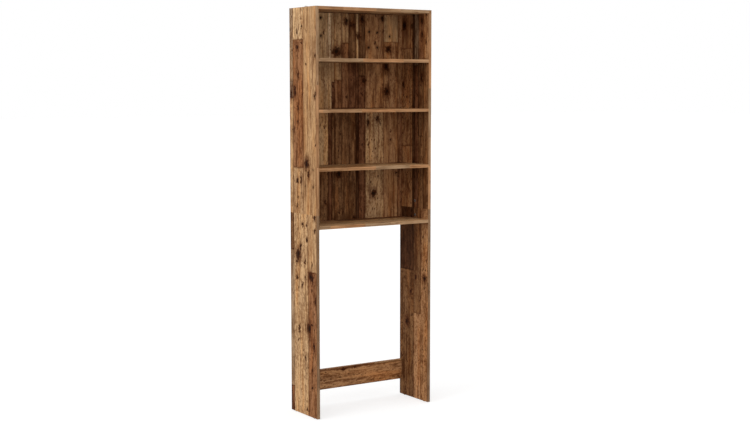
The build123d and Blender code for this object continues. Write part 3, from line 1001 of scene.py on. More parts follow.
BACK = Sheet(
    (
        row(62, "TAN WALNUT AMBER", 1130, 1500),
        row(133, "CHESTNUT TAN", 1130),
        row(192, "WALNUT HONEY HONEY", 1150, 1434),
        row(212, "RUSSET HONEY BONE", 1434, 1652),
        row(226, "WALNUT RUSSET HONEY", 1434, 1560),
        row(268, "WALNUT CHESTNUT TAN", 1434, 1569),
        row(308, "WALNUT CHESTNUT TAN", 1434, 1745),
        row(348, "WALNUT RUSSET WALNUT", 1434, 1652),
        row(362, "EMBER RUSSET CREAM", 1434, 1652),
        row(402, "RUSSET WALNUT", 1590),
        row(507, "TAN AMBER AMBER", 1434, 1652),
        row(592, "AMBER AMBER HONEY", 1434, 1754),
        row(620, "CHESTNUT AMBER", 1434),
    ),
    knots=spots(
        (237, 1704, 24, 0.8), (293, 1846, 10, 1.2), (322, 1832, 8, 1.3), (362, 1780, 11, 1.2),
        (385, 1859, 9, 1.7), (501, 1867, 8, 1.7), (537, 1719, 16, 0.8), (396, 1565, 12, 1.0),
        (522, 1634, 13, 1.4), (525, 1515, 14, 1.4), (472, 1382, 8, 1.4), (419, 1363, 8, 1.4),
        (90, 1250, 15, 1.3), (250, 1120, 13, 1.4), (450, 1020, 14, 1.3),
    ),
    nails=spots(
        (425, 1801, 5.0, 1.1), (470, 1798, 5.0, 1.1), (422, 1727, 5.0, 1.1), (471, 1728, 5.0, 1.1),
        (544, 1782, 5.0, 1.1), (153, 1861, 5.0, 1.2), (153, 1777, 5.0, 1.2),
    ),
    seed=109.0,
    width=620.0,
)

LEVEL_BOARDS = Sheet(
    (
        row(92, "TAN AMBER HONEY", 620, 1330),
        row(168, "HONEY CHESTNUT TAN", 410, 1010),
        row(240, "AMBER TAN WALNUT", 760, 1540),
        row(310, "WALNUT HONEY AMBER", 540, 1220),
        row(402, "TAN CHESTNUT HONEY", 870, 1650),
        row(480, "AMBER HONEY CHESTNUT", 330, 1120),
    ),
    knots=spots((60, 300, 12, 1.6), (130, 900, 14, 1.5), (350, 1200, 13, 1.5), (210, 520, 11, 1.7)),
    nails=spots((25, 640, 3.2, 1.4), (70, 640, 3.2, 1.4), (190, 780, 3.2, 1.4)),
    seed=131.0,
)


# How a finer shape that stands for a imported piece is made


@dataclass(frozen=True)
class Seat:
    """Where a fitting sits, in millimetres: its origin, the way its axis points, and a way square to it."""

    origin: Point
    ahead: Point
    aside: Point


def angles(around: int) -> np.ndarray:
    """The angles of a circle's points, as one row."""
    return np.linspace(0.0, 2 * math.pi, around, endpoint=False)[None, :]


def column(*values: float) -> np.ndarray:
    """Numbers as one column, a row for each circle."""
    return np.array(values, dtype=float)[:, None]


def turned(around: int, *parts: tuple[np.ndarray | list[float], np.ndarray | list[float]]) -> np.ndarray:
    """Circles about the Z axis, each point at x = r cos a, y = r sin a, z = h.

    Args:
        around: how many angles there are.
        parts: radii with their heights. Each is a plain list with a number for each circle, or an
            array of circles by angles, and one circle or one angle is repeated as often as needed.

    Returns:
        The points, as circles by angles by three.
    """
    angle = angles(around)
    circles = []
    for part in parts:
        radius, height = (column(*values) if np.ndim(values) == 1 else values for values in part)
        radius, height, _ = np.broadcast_arrays(radius, height, angle)
        circles.append(np.stack([radius * np.cos(angle), radius * np.sin(angle), height], axis=-1))
    return np.concatenate(circles)


def skin(grid: np.ndarray) -> Body:
    """Closes circles of points into one body.

    Neighbouring circles are joined by quads, each cut into two triangles, and the first and the
    last circle are closed by a fan to their middle. Where the body's volume comes out negative,
    every triangle is turned over, so that all of them face outwards.

    Args:
        grid: the points, as circles by angles by three.

    Returns:
        The points and the triangles.
    """
    rows, around, _ = grid.shape
    points = np.concatenate([grid.reshape(-1, 3), grid[:1].mean(axis=1), grid[-1:].mean(axis=1)])
    ring, turn = np.meshgrid(np.arange(rows - 1), np.arange(around), indexing="ij")
    here, there = ring * around + turn, ring * around + (turn + 1) % around
    quads = np.stack([here, there, there + around, here + around], axis=-1).reshape(-1, 4)
    turn = np.arange(around)
    after, last = (turn + 1) % around, (rows - 1) * around
    foot = np.stack([np.full(around, rows * around), after, turn], axis=1)
    head = np.stack([np.full(around, rows * around + 1), last + turn, last + after], axis=1)
    triangles = np.concatenate([quads[:, (0, 1, 2)], quads[:, (0, 2, 3)], foot, head])
    first, second, third = points[triangles].transpose(1, 0, 2)
    volume = np.einsum("ij,ij->", first, np.cross(second, third))
    return points, triangles if volume > 0 else triangles[:, ::-1]


def cross_outline(angle: np.ndarray, length: float, width: float) -> np.ndarray:
    """How far a cross reaches at each angle a.

    It is the farther of two crossed oblongs. The level one reaches the smaller of L / 2 |cos a|
    and w / 2 |sin a|, and the upright one the same with the sine and the cosine changed over.

    Args:
        angle: the angles.
        length, width: how long and how wide each oblong is.

    Returns:
        The reach at each angle.
    """
    level, upright = np.maximum(abs(np.cos(angle)), 1e-6), np.maximum(abs(np.sin(angle)), 1e-6)
    across = np.minimum(length / 2 / level, width / 2 / upright)
    return np.maximum(across, np.minimum(length / 2 / upright, width / 2 / level))


def driven_face(rim: float, around: int, drive: Point) -> Body:
    """Circles from the middle of a round face to its rim, with a cross drive sunk into it.

    The floor's circles are the cross's outline, shrunk. The wall leans out by a tenth of a
    millimetre, and from there the circles go over into the round rim in even steps.

    Args:
        rim: the radius of the last circle.
        around: how many angles there are.
        drive: the cross's length, width and depth.

    Returns:
        The circles' radii and how deep they lie, as circles by angles.
    """
    length, width, depth = drive
    outline = cross_outline(angles(around), length, width)
    brim = outline + 0.1
    outward = brim + (rim - brim) * column(0.0, 0.03, 0.35, 0.7, 1.0)
    radii = np.concatenate([outline * column(0.15, 0.5, 0.8, 1.0), outward])
    depths = column(*(depth * share for share in (1.0, 0.97, 0.92, 0.85)), 0, 0, 0, 0, 0)
    return radii, depths * np.ones(around)


@dataclass(frozen=True)
class Thread:
    """A screw thread about the Z axis, below 0, in millimetres.

    Its tip tapers over the point's length from the blunt share of the root's radius, and the
    taper is never under its least. The flat is the share of the ridge that is cut off. The fade
    is the height at which the ridge has run out, and the way over which it does so.
    """

    root: float
    crest: float
    pitch: float
    bottom: float
    top: float
    rows: int
    point: float
    blunt: float
    least: float
    flat: float
    fade: tuple[float, float]

    def part(self, around: int) -> Body:
        """The thread's circles.

        With t the share of a turn past the height over the pitch, the ridge is 1 - |2t - 1| with
        its lower part cut off, so that the root is flat. The radius is root + (crest - root)
        ridge, and both of its parts shrink to the tip.

        Args:
            around: how many angles there are.

        Returns:
            Their radii and heights, as circles by angles.
        """
        height = np.linspace(self.bottom, self.top, self.rows)[:, None]
        taper = np.clip((height - self.bottom) / self.point, self.least, 1)
        start, over = self.fade
        runout = np.clip((start - height) / over, 0, 1)
        turn = (height / self.pitch - angles(around) / (2 * math.pi)) % 1.0
        ridge = np.clip((1 - abs(2 * turn - 1) - self.flat) / (1 - self.flat), 0, 1)
        core = self.root * (self.blunt + (1 - self.blunt) * taper)
        return core + (self.crest - self.root) * ridge * taper * runout, height


def add_object(name: str, data: bpy.types.ID) -> bpy.types.Object:
    """Adds an object to the scene."""
    piece = bpy.data.objects.new(name, data)
    bpy.context.scene.collection.objects.link(piece)
    return piece


@dataclass(frozen=True)
class FinePiece:
    """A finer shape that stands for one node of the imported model."""

    node: str
    slot: str
    finish: Material
    crease: float = math.radians(38)

    def repeat(self, grid: np.ndarray, seats: list[Seat]) -> None:
        """Sets one body at every seat, all in one piece.

        Args:
            grid: the body's circles of points about the Z axis, in millimetres.
            seats: where the bodies go: their Z axis points ahead, their X axis aside.
        """
        points, triangles = skin(grid)
        bodies = []
        for seat in seats:
            basis = np.stack([seat.aside, np.cross(seat.ahead, seat.aside), seat.ahead])
            bodies.append((seat.origin + points @ basis, triangles))
        self.join(bodies)

    def join(self, bodies: list[Body]) -> None:
        """Makes one piece of closed bodies.

        Args:
            bodies: the points in millimetres and the triangles of each.
        """
        starts = np.cumsum([0] + [len(points) for points, _ in bodies[:-1]])
        points = np.concatenate([points for points, _ in bodies]) * MM
        faces = np.concatenate([triangles + start for (_, triangles), start in zip(bodies, starts)])
        mesh = bpy.data.meshes.new(self.node + "_fine")
        mesh.from_pydata(points.tolist(), [], faces.tolist())
        mesh.materials.append(self.finish)
        mesh.shade_smooth()
        mesh.set_sharp_from_angle(angle=self.crease)
        piece = add_object(self.node + "_fine", mesh)
        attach(piece, "root")
        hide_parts(self.node)
        LOG.info("%s: %d bodies, %d triangles", piece.name, len(bodies), len(faces))


@dataclass(frozen=True)
class Band:
    """A straight band of edging between two corners, in millimetres, which faces along one axis."""

    low: Point
    high: Point
    faces: int
    sign: float
    ease: float = 0.4
    steps: int = 5

    def body(self) -> Body:
        """The band as one profile carried straight from end to end.

        The profile is an oblong, w wide and t thick, whose two outer corners are quarter circles
        of radius e: (w - e + e cos a, t - e + e sin a), and its mirror image.

        Returns:
            The points and the triangles.
        """
        low, size = np.array(self.low), np.subtract(self.high, self.low)
        across, along = sorted({0, 1, 2} - {self.faces}, key=lambda axis: size[axis])
        wide, thick, ease = size[across], size[self.faces], self.ease
        turn = np.linspace(0.0, math.pi / 2, self.steps)
        right = np.stack([wide - ease + ease * np.cos(turn), thick - ease + ease * np.sin(turn)])
        left = np.stack([ease - ease * np.sin(turn), thick - ease + ease * np.cos(turn)])
        flat = np.array([[wide - 2 * ease, 2 * ease], [thick, thick]])
        foot = np.array([[0.0, wide], [0.0, 0.0]])
        sideways, outwards = np.concatenate([foot, right, flat, left], axis=1)
        ends = np.zeros((2, len(sideways), 3)) + low
        ends[:, :, across] += sideways
        ends[:, :, self.faces] += outwards if self.sign > 0 else thick - outwards
        ends[1, :, along] += size[along]
        return skin(ends)


# Boards, panels, brackets and edgings


def dress(node: str, material: Material) -> None:
    """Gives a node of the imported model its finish, in every material slot that it has.

    Args:
        node: the node.
        material: its finish.
    """
    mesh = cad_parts[node].data
    mesh.materials.clear()
    mesh.materials.append(material)
    LOG.info("%s: %s", node, material.name)


def edge(bands: list[Band], decor: EdgingDecor) -> None:
    """Makes the edging that the decor belongs to, of bands."""
    FinePiece(decor.piece, "edging_decor", decor.material()).join([band.body() for band in bands])


@dataclass(frozen=True)
class Sides:
    """The four halves of the sides with their edgings: each half's name, its print and its wrap."""

    first_seed: float = 3.0
    sheets: tuple[tuple[str, Sheet, Wrap], ...] = (
        ("upper_left_side", LEFT_UPPER, Wrap.LEFT_SIDE),
        ("lower_left_side", LEFT_LOWER, Wrap.LEFT_SIDE),
        ("upper_right_side", RIGHT_UPPER, Wrap.RIGHT_SIDE),
        ("lower_right_side", RIGHT_LOWER, Wrap.RIGHT_SIDE),
    )

    def build(self) -> None:
        """Dresses the four halves."""
        for number, (node, sheet, wrap) in enumerate(self.sheets):
            outward = wrap.value[3]
            dress(node, PlankDecor(node, sheet, wrap, outward * PLANES.side_middle).material())
            tones = GREYER_EDGING if node.startswith("lower") else WARMER_EDGING
            decor = EdgingDecor(node + "_edging", Run.UPRIGHT, self.first_seed + number, tones)
            edge(self.bands(node), decor)

    def bands(self, node: str) -> list[Band]:
        """The edging down the front of a half and, where it reaches the rear, over its top.

        Args:
            node: the half.

        Returns:
            Its bands.
        """
        core_low, core_high = corners(node)
        low, high = corners(node + "_edging")
        bands = [Band(low, (high[0], core_low[1], high[2]), 1, -1.0)]
        if high[1] > core_low[1]:
            bands.append(Band((low[0], core_low[1], core_high[2]), high, 2, 1.0))
        return bands


@dataclass(frozen=True)
class LevelBoards:
    """The five boards between the sides, and how far along the printed sheet each one starts."""

    first_seed: float = 11.0
    seed_step: float = 2.3
    boards: tuple[tuple[str, float], ...] = (
        ("top_board", 0.0),
        ("upper_shelf", 340.0),
        ("middle_shelf", 710.0),
        ("lower_shelf", 1020.0),
        ("bottom_shelf", 1310.0),
    )

    def build(self) -> None:
        """Dresses the boards and makes the edgings on their fronts."""
        for number, (node, shift) in enumerate(self.boards):
            low, high = corners(node)
            middle, along = (low[2] + high[2]) / 2, PLANES.outer + shift
            dress(node, PlankDecor(node, LEVEL_BOARDS, Wrap.LEVEL, middle, along).material())
            decor = EdgingDecor(node + "_edging", Run.LEVEL, self.first_seed + self.seed_step * number)
            edge([Band(*corners(decor.piece), 1, -1.0)], decor)


@dataclass(frozen=True)
class Back:
    """The two thin panels, which show one unbroken print."""

    panels: tuple[str, ...] = ("upper_back_panel", "lower_back_panel")

    def build(self) -> None:
        """Dresses the panels."""
        decor = PlankDecor("back", BACK, Wrap.BACK).material()
        for node in self.panels:
            dress(node, decor)


@dataclass(frozen=True)
class CrossRail:
    """The rail at the rear of the bay and the edging on its two long edges."""

    node: str = "rear_rail"
    edging: str = "rail_edging"
    shift: float = 550.0
    seed: float = 29.0

    def build(self) -> None:
        """Dresses the rail and makes its edging, a band below the board and one above it."""
        core_low, core_high = corners(self.node)
        low, high = corners(self.edging)
        middle, along, height = (low[1] + high[1]) / 2, PLANES.outer + self.shift, high[2] - low[2]
        decor = PlankDecor(self.node, LEVEL_BOARDS, Wrap.RAIL, middle, along, low[2], height)
        dress(self.node, decor.material())
        lower = Band(low, (high[0], high[1], core_low[2]), 2, -1.0)
        upper = Band((low[0], low[1], core_high[2]), high, 2, 1.0)
        edge([lower, upper], EdgingDecor(self.edging, Run.LEVEL, self.seed))


@dataclass(frozen=True)
class WallBrackets:
    """The two bent steel angles on the top board."""

    nodes: tuple[str, ...] = ("wall_bracket_left", "wall_bracket_right")

    def build(self) -> None:
        """Dresses the brackets."""
        bright, dull = linear(188, 188, 184), linear(150, 152, 156)
        steel = Metal("bracket_steel", bright, dull, 0.36, 500.0, 0.00004).material()
        for node in self.nodes:
            dress(node, steel)


# Turned and cast fittings


@dataclass(frozen=True)
class CamHousing:
    """A cast cam housing about its own Z axis, tightened: its drive on top, its cavity open below."""

    radius: float = 7.3
    top: float = 7.5
    bottom: float = -4.5
    ease: float = 0.3
    ceiling: float = 3.7
    cavity: float = 5.75
    pull: float = 0.5
    slot: float = 2.4
    slot_end: float = 199.0
    entry: float = 3.55
    drive: Point = (8.0, 1.6, 2.7)
    mark: tuple[float, float, float] = (5.3, 6.2, 0.6)
    mark_turn: float = 5.0
    around: int = 96

    def lower_edge(self) -> np.ndarray:
        """Where the wall ends below, at every angle a.

        It ends at the bottom, but above the bolt's neck from 0 round to the slot's end, and at
        the arch sqrt(e e - r r sin a sin a) over the entry for the bolt's head, about the angle 0.

        Returns:
            The heights, as one row.
        """
        angle = angles(self.around)
        past = np.clip((self.slot_end - np.degrees(angle)) / 4, 0, 1)
        sag = np.maximum(self.entry**2 - (self.radius * np.sin(angle)) ** 2, 0.0)
        arch = np.where((sag > 0) & (np.cos(angle) > 0), np.sqrt(sag), self.bottom)
        return np.maximum(self.bottom + (self.slot - self.bottom) * past, arch)

    def grid(self) -> np.ndarray:
        """Circles from the middle of the top out, down the wall, in, up the cavity and in again.

        The cavity is a circle of radius c whose middle lies off the axis by the pull p: its
        radius at an angle a is p cos a + sqrt(c c - p p sin a sin a).

        Returns:
            The circles of points.
        """
        angle = angles(self.around)
        start, stop, depth = self.mark
        face, sunk = driven_face(start - 0.1, self.around, self.drive)
        marked = self.top - depth * (np.cos(angle) > np.cos(np.radians(self.mark_turn)))
        crown, low = np.minimum(self.top - self.ease, marked), self.lower_edge()
        lip, shoulder = low + self.ease, self.radius - self.ease
        inner = self.pull * np.cos(angle) + np.sqrt(self.cavity**2 - (self.pull * np.sin(angle)) ** 2)
        return turned(
            self.around,
            (face, self.top - sunk),
            ([start, stop, shoulder], marked),
            ([self.radius], crown + (lip - crown) * column(0.0, 0.08, 0.5, 0.92, 1.0)),
            ([shoulder], low),
            (inner + self.ease, low),
            (inner, lip + (self.ceiling - 0.1 - lip) * column(0.0, 0.5, 1.0)),
            (inner * column(0.9, 0.6, 0.3, 0.05), [self.ceiling]),
        )


@dataclass(frozen=True)
class CamBolt:
    """A cam bolt about its own Z axis, from its threaded tip through the joint at 0 to its head."""

    thread: Thread = Thread(
        root=1.75, crest=2.33, pitch=1.8, bottom=-11.0, top=-0.5, rows=60,
        point=1.6, blunt=0.35, least=0.0, flat=0.45, fade=(-0.7, 0.8),
    )
    collar: tuple[float, float] = (3.5, 1.2)
    neck: float = 2.15
    shoulder: float = 29.35
    head: Point = (3.35, 1.2, 2.8)
    drive: Point = (4.4, 1.18, 1.4)
    around: int = 48

    def headed(self) -> np.ndarray:
        """Circles from the neck's end over the head to the middle of its end, with a cross drive.

        Returns:
            The circles of points.
        """
        radius, cone, length = self.head
        rim, end = self.shoulder + cone, self.shoulder + length
        face, sunk = driven_face(radius - 0.45, self.around, self.drive)
        outside = [self.neck, self.neck, radius - 0.1, radius, radius, radius - 0.35]
        places = [self.shoulder - 0.6, self.shoulder, rim, rim + 0.1, end - 0.35, end]
        return turned(self.around, (outside, places), (face[::-1], end - sunk[::-1]))

    def grid(self) -> np.ndarray:
        """The thread, a collar, a neck and the head.

        Returns:
            The circles of points.
        """
        wide, thick = self.collar
        collar = [self.thread.root, wide - 0.15, wide, wide, wide - 0.15, self.neck, self.neck]
        levels = [0.0, 0.0, 0.15, thick - 0.15, thick, thick, thick + 1.0]
        shank = turned(self.around, self.thread.part(self.around), (collar, levels))
        return np.concatenate([shank, self.headed()])

    def double_grid(self) -> np.ndarray:
        """The same neck and head both ways from the joint."""
        head = self.headed()
        return np.concatenate([head[::-1] * (1, 1, -1), head])


@dataclass(frozen=True)
class Dowel:
    """A fluted dowel about its own Z axis, from one depth behind the joint to another before it."""

    radius: float = 3.68
    flute: float = 0.34
    flutes: int = 14
    ease: float = 0.8
    tip: float = 1.8
    end_play: float = 0.1

    def grid(self, back: float, front: float) -> np.ndarray:
        """Radius R - f max(0, cos(n a)) to the power 0.7 along the body, eased to R - e at both ends.

        Args:
            back, front: how deep the bores are behind the joint and before it.

        Returns:
            The circles of points.
        """
        around = 8 * self.flutes
        groove = self.flute * np.maximum(0.0, np.cos(self.flutes * angles(around))) ** 0.7
        low, high = self.end_play - back, front - self.end_play
        start, stop = low + self.ease, high - self.ease
        body = self.radius - groove * column(0, 0, 1, 1, 1, 1, 0, 0)
        radius = body - column(self.tip, self.ease, 0, 0, 0, 0, self.ease, self.tip)
        return turned(around, (radius, [low, low, start, start + 0.1, stop - 0.1, stop, high, high]))


@dataclass(frozen=True)
class PanelNail:
    """A round-headed nail about its own Z axis, its head above 0."""

    shank: float = 0.8
    length: float = 20.0
    head: tuple[float, float] = (2.15, 0.8)
    around: int = 24

    def grid(self) -> np.ndarray:
        """A point, a shank ringed near the head, and a head with a low crown.

        Returns:
            The circles of points.
        """
        shank, low = self.shank, -self.length
        wide, thick = self.head
        rings = np.linspace(-6.0, -1.0, 21)
        crown = [shank, wide - 0.2, wide, wide, wide - 0.15, wide * 0.6, wide * 0.25]
        return turned(
            self.around,
            ([0.08, shank * 0.9, shank, shank], [low, low + 2.0, low + 2.6, -6.2]),
            (shank * (0.9 + 0.1 * np.cos(2 * math.pi * rings)), rings),
            (crown, [0.0, 0.02, 0.15, thick - 0.3, thick - 0.12, thick - 0.03, thick]),
        )


@dataclass(frozen=True)
class PanScrew:
    """A pan-head screw about its own Z axis, the head above 0."""

    thread: Thread = Thread(
        root=1.05, crest=1.6, pitch=1.4, bottom=-11.0, top=-0.2, rows=66,
        point=3.0, blunt=0.0, least=0.06, flat=0.4, fade=(-0.3, 0.7),
    )
    head: tuple[float, float] = (3.5, 2.2)
    edge: float = 0.5
    drive: Point = (4.4, 0.9, 1.4)
    around: int = 64

    def dome(self, radius: np.ndarray) -> np.ndarray:
        """The head's height at a radius r: its rim plus h sqrt(1 - (r / w) to the power 3.3)."""
        wide, tall = self.head
        return self.edge + (tall - self.edge) * np.sqrt(1 - (radius / wide) ** 3.3)

    def grid(self) -> np.ndarray:
        """The thread, and a domed head with a cross drive.

        Returns:
            The circles of points.
        """
        wide = self.head[0]
        brow = wide - column(0.02, 0.1, 0.25, 0.4)
        face, sunk = driven_face(wide - 0.6, self.around, self.drive)
        return turned(
            self.around,
            self.thread.part(self.around),
            ([self.thread.root, wide - 0.1, wide, wide], [0.0, 0.0, 0.12, self.edge]),
            (brow, self.dome(brow)),
            (face[::-1], self.dome(face[::-1]) - sunk[::-1]),
        )


@dataclass(frozen=True)
class Glide:
    """A push-in floor glide about its own Z axis: the pad below 0, the barbed stem above."""

    radius: float = 6.4
    thick: float = 3.0
    edge: float = 1.0
    stem: tuple[float, float, float] = (1.9, 2.35, 12.0)
    barbs: int = 4
    around: int = 64

    def grid(self) -> np.ndarray:
        """A pad with a rounded rim, and a stem whose radius falls within each barb from crest to root.

        Returns:
            The circles of points.
        """
        bend = np.linspace(-math.pi / 2, 0.0, 7)
        root, crest, length = self.stem
        flat = self.radius - self.edge
        start = np.linspace(2.0, length - 2.4, self.barbs)
        return turned(
            self.around,
            ([self.radius * 0.3, flat - 0.4], [0.15 - self.thick, -self.thick]),
            (flat + self.edge * np.cos(bend), self.edge - self.thick + self.edge * np.sin(bend)),
            ([self.radius, self.radius - 0.15, root, root], [-0.15, 0.0, 0.0, 1.0]),
            (np.tile([root, crest, root], self.barbs), (start[:, None] + [0.0, 0.05, 1.6]).ravel()),
            ([root, root - 0.6], [length - 0.4, length]),
        )


@dataclass(frozen=True)
class Joint:
    """Where two boards meet: a point, the way into the drawn-up board, and the way its cam faces."""

    point: Point
    inward: Point
    drive: Point

    def along(self) -> Seat:
        """The seat of a bolt or a dowel, which lies across the joint."""
        return Seat(self.point, self.inward, self.drive)

    def cam(self, reach: float) -> Seat:
        """The seat of a cam that far into the board, its mouth towards the joint."""
        origin = tuple(p + reach * d for p, d in zip(self.point, self.inward))
        return Seat(origin, self.drive, self.inward)


@dataclass(frozen=True)
class Fittings:
    """Makes groups of like fittings. Each finish is kept under its own name, which is its slot's too."""

    finishes: dict[str, Material]

    @classmethod
    def prepare(cls) -> "Fittings":
        """Writes the five finishes.

        Returns:
            The maker of the groups.
        """
        zinc, dull_zinc = linear(150, 150, 150), linear(112, 112, 114)
        plated, dull_plated = linear(196, 190, 172), linear(158, 150, 132)
        bright, dull_bright = linear(176, 176, 180), linear(140, 138, 136)
        kinds = (
            Metal("cam_zinc", zinc, dull_zinc, 0.50, 900.0, 0.00006),
            Metal("bolt_steel", plated, dull_plated, 0.30, 700.0, 0.00003),
            Metal("nail_steel", bright, dull_bright, 0.34, 800.0, 0.00003),
            Beech("dowel_beech"),
            GlidePlastic("glide_plastic"),
        )
        return cls({kind.name: kind.material() for kind in kinds})

    def place(self, node: str, slot: str, grid: np.ndarray, seats: list[Seat]) -> None:
        """Sets a fitting of this shape at each seat, and makes them the piece for a node."""
        FinePiece(node, slot, self.finishes[slot]).repeat(grid, seats)


@dataclass(frozen=True)
class KnockDownJoints:
    """The cams, bolts and dowels that hold the boards, the rail and the halves of the sides together."""

    fittings: Fittings
    front_row: float = 48.0
    rear_row: float = 64.0
    cam_boards: tuple[tuple[str, float], ...] = (
        ("top_board", 1.0),
        ("middle_shelf", -1.0),
        ("bottom_shelf", -1.0),
    )
    plain_boards: tuple[str, ...] = ("upper_shelf", "lower_shelf")
    rail: str = "rear_rail"
    rail_dowel_pitch: float = 32.0
    cam_reach: float = 34.0
    dowel_in_face: float = 10.0
    dowel_in_end: float = 20.0

    @staticmethod
    def middle(node: str) -> list[float]:
        """The middle of a packed board, in millimetres."""
        return [(low + high) / 2 for low, high in zip(*corners(node))]

    @staticmethod
    def end_joints(y: float, z: float, drive: Point) -> list[Joint]:
        """The joints of a level board's two ends with the sides."""
        return [Joint((side * PLANES.inner, y, z), (-side, 0.0, 0.0), drive) for side in BOTH]

    @staticmethod
    def seam_joints(y: float, way: float) -> list[Joint]:
        """The joints of the halves of both sides, seen from the upper or the lower half."""
        reach, up = PLANES.side_middle, (0.0, 0.0, way)
        return [Joint((side * reach, y, PLANES.seam), up, (-side, 0.0, 0.0)) for side in BOTH]

    def build(self) -> None:
        """Makes every group of fittings, in a front, a middle and a rear row."""
        front, rear = PLANES.front + self.front_row, PLANES.rear - self.rear_row
        middle = (front + rear) / 2
        for name, drive in self.cam_boards:
            way, z = (0.0, 0.0, drive), self.middle(name)[2]
            held = self.end_joints(front, z, way) + self.end_joints(rear, z, way)
            self.fit(name, held, self.end_joints(middle, z, way))
        for name in self.plain_boards:
            z = self.middle(name)[2]
            self.fit(name, [], self.end_joints(front, z, UP) + self.end_joints(rear, z, UP))
        _, y, z = self.middle(self.rail)
        below, above = (self.end_joints(y, z + way * self.rail_dowel_pitch, REARWARD) for way in BOTH)
        self.fit("rail", self.end_joints(y, z, REARWARD), below + above)
        self.fit_seams(front, middle, rear)

    def fit(self, name: str, held: list[Joint], located: list[Joint]) -> None:
        """Makes the fittings of one board.

        Args:
            name: what the board's groups of fittings are called after.
            held: the joints with a cam and a bolt.
            located: the joints with a dowel.
        """
        if held:
            self.cams(name, held)
            self.across(name + "_bolts", "bolt_steel", CamBolt().grid(), held)
        dowel = Dowel().grid(self.dowel_in_face, self.dowel_in_end)
        self.across(name + "_dowels", "dowel_beech", dowel, located)

    def fit_seams(self, front: float, middle: float, rear: float) -> None:
        """Makes the double bolts, their cams and the dowels between the halves of the sides.

        Args:
            front, middle, rear: the three rows of fittings.
        """
        upper = self.seam_joints(middle, 1.0)
        self.cams("seam", upper + self.seam_joints(middle, -1.0))
        self.across("seam_bolts", "bolt_steel", CamBolt().double_grid(), upper)
        half = (self.dowel_in_face + self.dowel_in_end) / 2
        located = self.seam_joints(front, 1.0) + self.seam_joints(rear, 1.0)
        self.across("seam_dowels", "dowel_beech", Dowel().grid(half, half), located)

    def cams(self, name: str, joints: list[Joint]) -> None:
        """A cam housing in each joint's drawn-up board."""
        seats = [joint.cam(self.cam_reach) for joint in joints]
        self.fittings.place(name + "_cams", "cam_zinc", CamHousing().grid(), seats)

    def across(self, node: str, slot: str, grid: np.ndarray, joints: list[Joint]) -> None:
        """A bolt or a dowel of this shape across each joint."""
        self.fittings.place(node, slot, grid, [joint.along() for joint in joints])


@dataclass(frozen=True)
class SmallFittings:
    """The nails through the back, the screws of the brackets, and the floor glides."""

    fittings: Fittings
    shelves: tuple[str, ...] = ("lower_shelf", "upper_shelf")
    panel: str = "upper_back_panel"
    brackets: tuple[str, ...] = ("wall_bracket_left", "wall_bracket_right")
    nail_from_end: float = 90.0
    bracket_steel: float = 2.0
    bracket_foot_hole: float = 9.0
    glide_from_edge: float = 36.0

    def build(self) -> None:
        """Makes the small fittings."""
        place = self.fittings.place
        nails = [Seat(spot, REARWARD, RIGHT) for spot in self.nail_spots()]
        place("back_panel_nails", "nail_steel", PanelNail().grid(), nails)
        screws = [Seat(self.screw_spot(node), UP, RIGHT) for node in self.brackets]
        place("bracket_screws", "bolt_steel", PanScrew().grid(), screws)
        glides = [Seat(spot, UP, RIGHT) for spot in self.glide_spots()]
        place("floor_glides", "glide_plastic", Glide().grid(), glides)

    def nail_spots(self) -> list[Point]:
        """Two nails through the back into each plain shelf, on the rear face of the back."""
        reach, plane = PLANES.inner - self.nail_from_end, corners(self.panel)[1][1]
        heights = [sum(corner[2] for corner in corners(shelf)) / 2 for shelf in self.shelves]
        return [(side * reach, plane, height) for height in heights for side in BOTH]

    def screw_spot(self, node: str) -> Point:
        """The hole in a bracket's foot, on the upper face of the steel."""
        low, high = corners(node)
        return (low[0] + high[0]) / 2, low[1] + self.bracket_foot_hole, low[2] + self.bracket_steel

    def glide_spots(self) -> list[Point]:
        """Two glides under the lower edge of each side."""
        reach, foot = PLANES.depth / 2 - self.glide_from_edge, corners("lower_left_side")[0][2]
        return [(x * PLANES.side_middle, y * reach, foot) for x in BOTH for y in BOTH]


# The studio


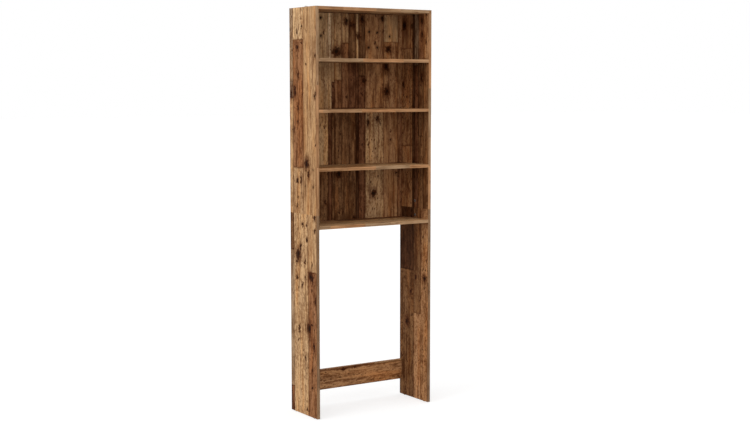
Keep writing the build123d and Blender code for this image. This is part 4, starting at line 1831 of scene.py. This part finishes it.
@dataclass(frozen=True)
class Studio:
    """A pale floor, soft light from the left front, a white surround and the camera."""

    floor_reach: float = 60.0
    paper: Colour = (0.80, 0.80, 0.80, 1.0)
    seen_paper: Colour = (0.45, 0.45, 0.45, 1.0)
    glow: float = 0.68
    surround: float = 0.64
    lamps: tuple[tuple[str, float, float, Point], ...] = (
        ("key", 1.11, 36.0, (-0.90, -0.16, 0.42)),
        ("fill", 0.90, 60.0, (-0.42, -0.88, 0.30)),
    )
    camera_place: Point = (-3.3741, -5.2857, 1.5262)
    camera_turn: float = 0.57843
    camera_dip: float = 0.09879
    focal_pixels: float = 1319.76
    frame_pixels: float = 750.0
    sensor: float = 36.0

    def build(self) -> None:
        """Makes the floor, the light and the camera."""
        self.floor()
        self.world()
        self.light()
        self.camera()
        bpy.context.scene.view_settings.view_transform = "Standard"

    def floor(self) -> None:
        """A flat sheet under the cabinet, lifted to white where it is seen, which keeps shadows."""
        reach, mesh = self.floor_reach, bpy.data.meshes.new("floor")
        mesh.from_pydata([(x * reach, y * reach, 0.0) for y in BOTH for x in BOTH], [], [(0, 1, 3, 2)])
        recipe = Recipe("studio_floor")
        paper = recipe.node("BsdfDiffuse", sockets={"Color": self.paper})
        seen_paper = recipe.node("BsdfDiffuse", sockets={"Color": self.seen_paper})
        glow = recipe.node("Emission", sockets={"Color": WHITE, "Strength": self.glow})
        lifted = recipe.node("AddShader", sockets={0: seen_paper.outputs[0], 1: glow.outputs[0]})
        shaders = {0: recipe.seen(), 1: paper.outputs[0], 2: lifted.outputs[0]}
        recipe.node("OutputMaterial", sockets={0: recipe.node("MixShader", sockets=shaders).outputs[0]})
        mesh.materials.append(recipe.material)
        add_object("floor", mesh)
        LOG.info("floor: %s", recipe.material.name)

    def world(self) -> None:
        """An even white surround: plain as light, full white where it is seen."""
        world = bpy.data.worlds.new("studio")
        bpy.context.scene.world = world
        world.use_nodes = True
        graph = Graph(world.node_tree)
        plain = graph.node("Background", sockets={"Color": WHITE, "Strength": self.surround})
        white = graph.node("Background", sockets={"Color": WHITE, "Strength": 1.0})
        shaders = {0: graph.seen(), 1: plain.outputs[0], 2: white.outputs[0]}
        graph.node("OutputWorld", sockets={0: graph.node("MixShader", sockets=shaders).outputs[0]})

    def light(self) -> None:
        """A broad key lamp on the left and one in front: name, strength, spread and direction."""
        for name, strength, spread, (x, y, z) in self.lamps:
            lamp = bpy.data.lights.new(name, "SUN")
            lamp.energy, lamp.angle, lamp.color = strength, math.radians(spread), WHITE[:3]
            tilt, turn = math.atan2(math.hypot(x, y), z), math.atan2(y, x) + math.pi / 2
            add_object(name, lamp).rotation_euler = (tilt, 0.0, turn)

    def camera(self) -> None:
        """A camera at about eye height, to the left of the front, dipped to take in the whole cabinet."""
        lens = bpy.data.cameras.new("camera")
        lens.sensor_width = self.sensor
        lens.lens = self.focal_pixels * self.sensor / self.frame_pixels
        lens.clip_end = 4 * self.floor_reach
        camera = add_object("camera", lens)
        camera.location = self.camera_place
        camera.rotation_euler = (math.pi / 2 - self.camera_dip, 0.0, -self.camera_turn)
        bpy.context.scene.camera = camera


def main() -> None:
    """Builds the studio and every sub-assembly in order."""
    logging.basicConfig(level=logging.INFO, format="%(message)s")
    fittings = Fittings.prepare()
    joints, small = KnockDownJoints(fittings), SmallFittings(fittings)
    for part in (Studio(), Sides(), LevelBoards(), Back(), CrossRail(), WallBrackets(), joints, small):
        LOG.info("%s:", type(part).__name__)
        part.build()


if __name__ == "__main__":
    main()
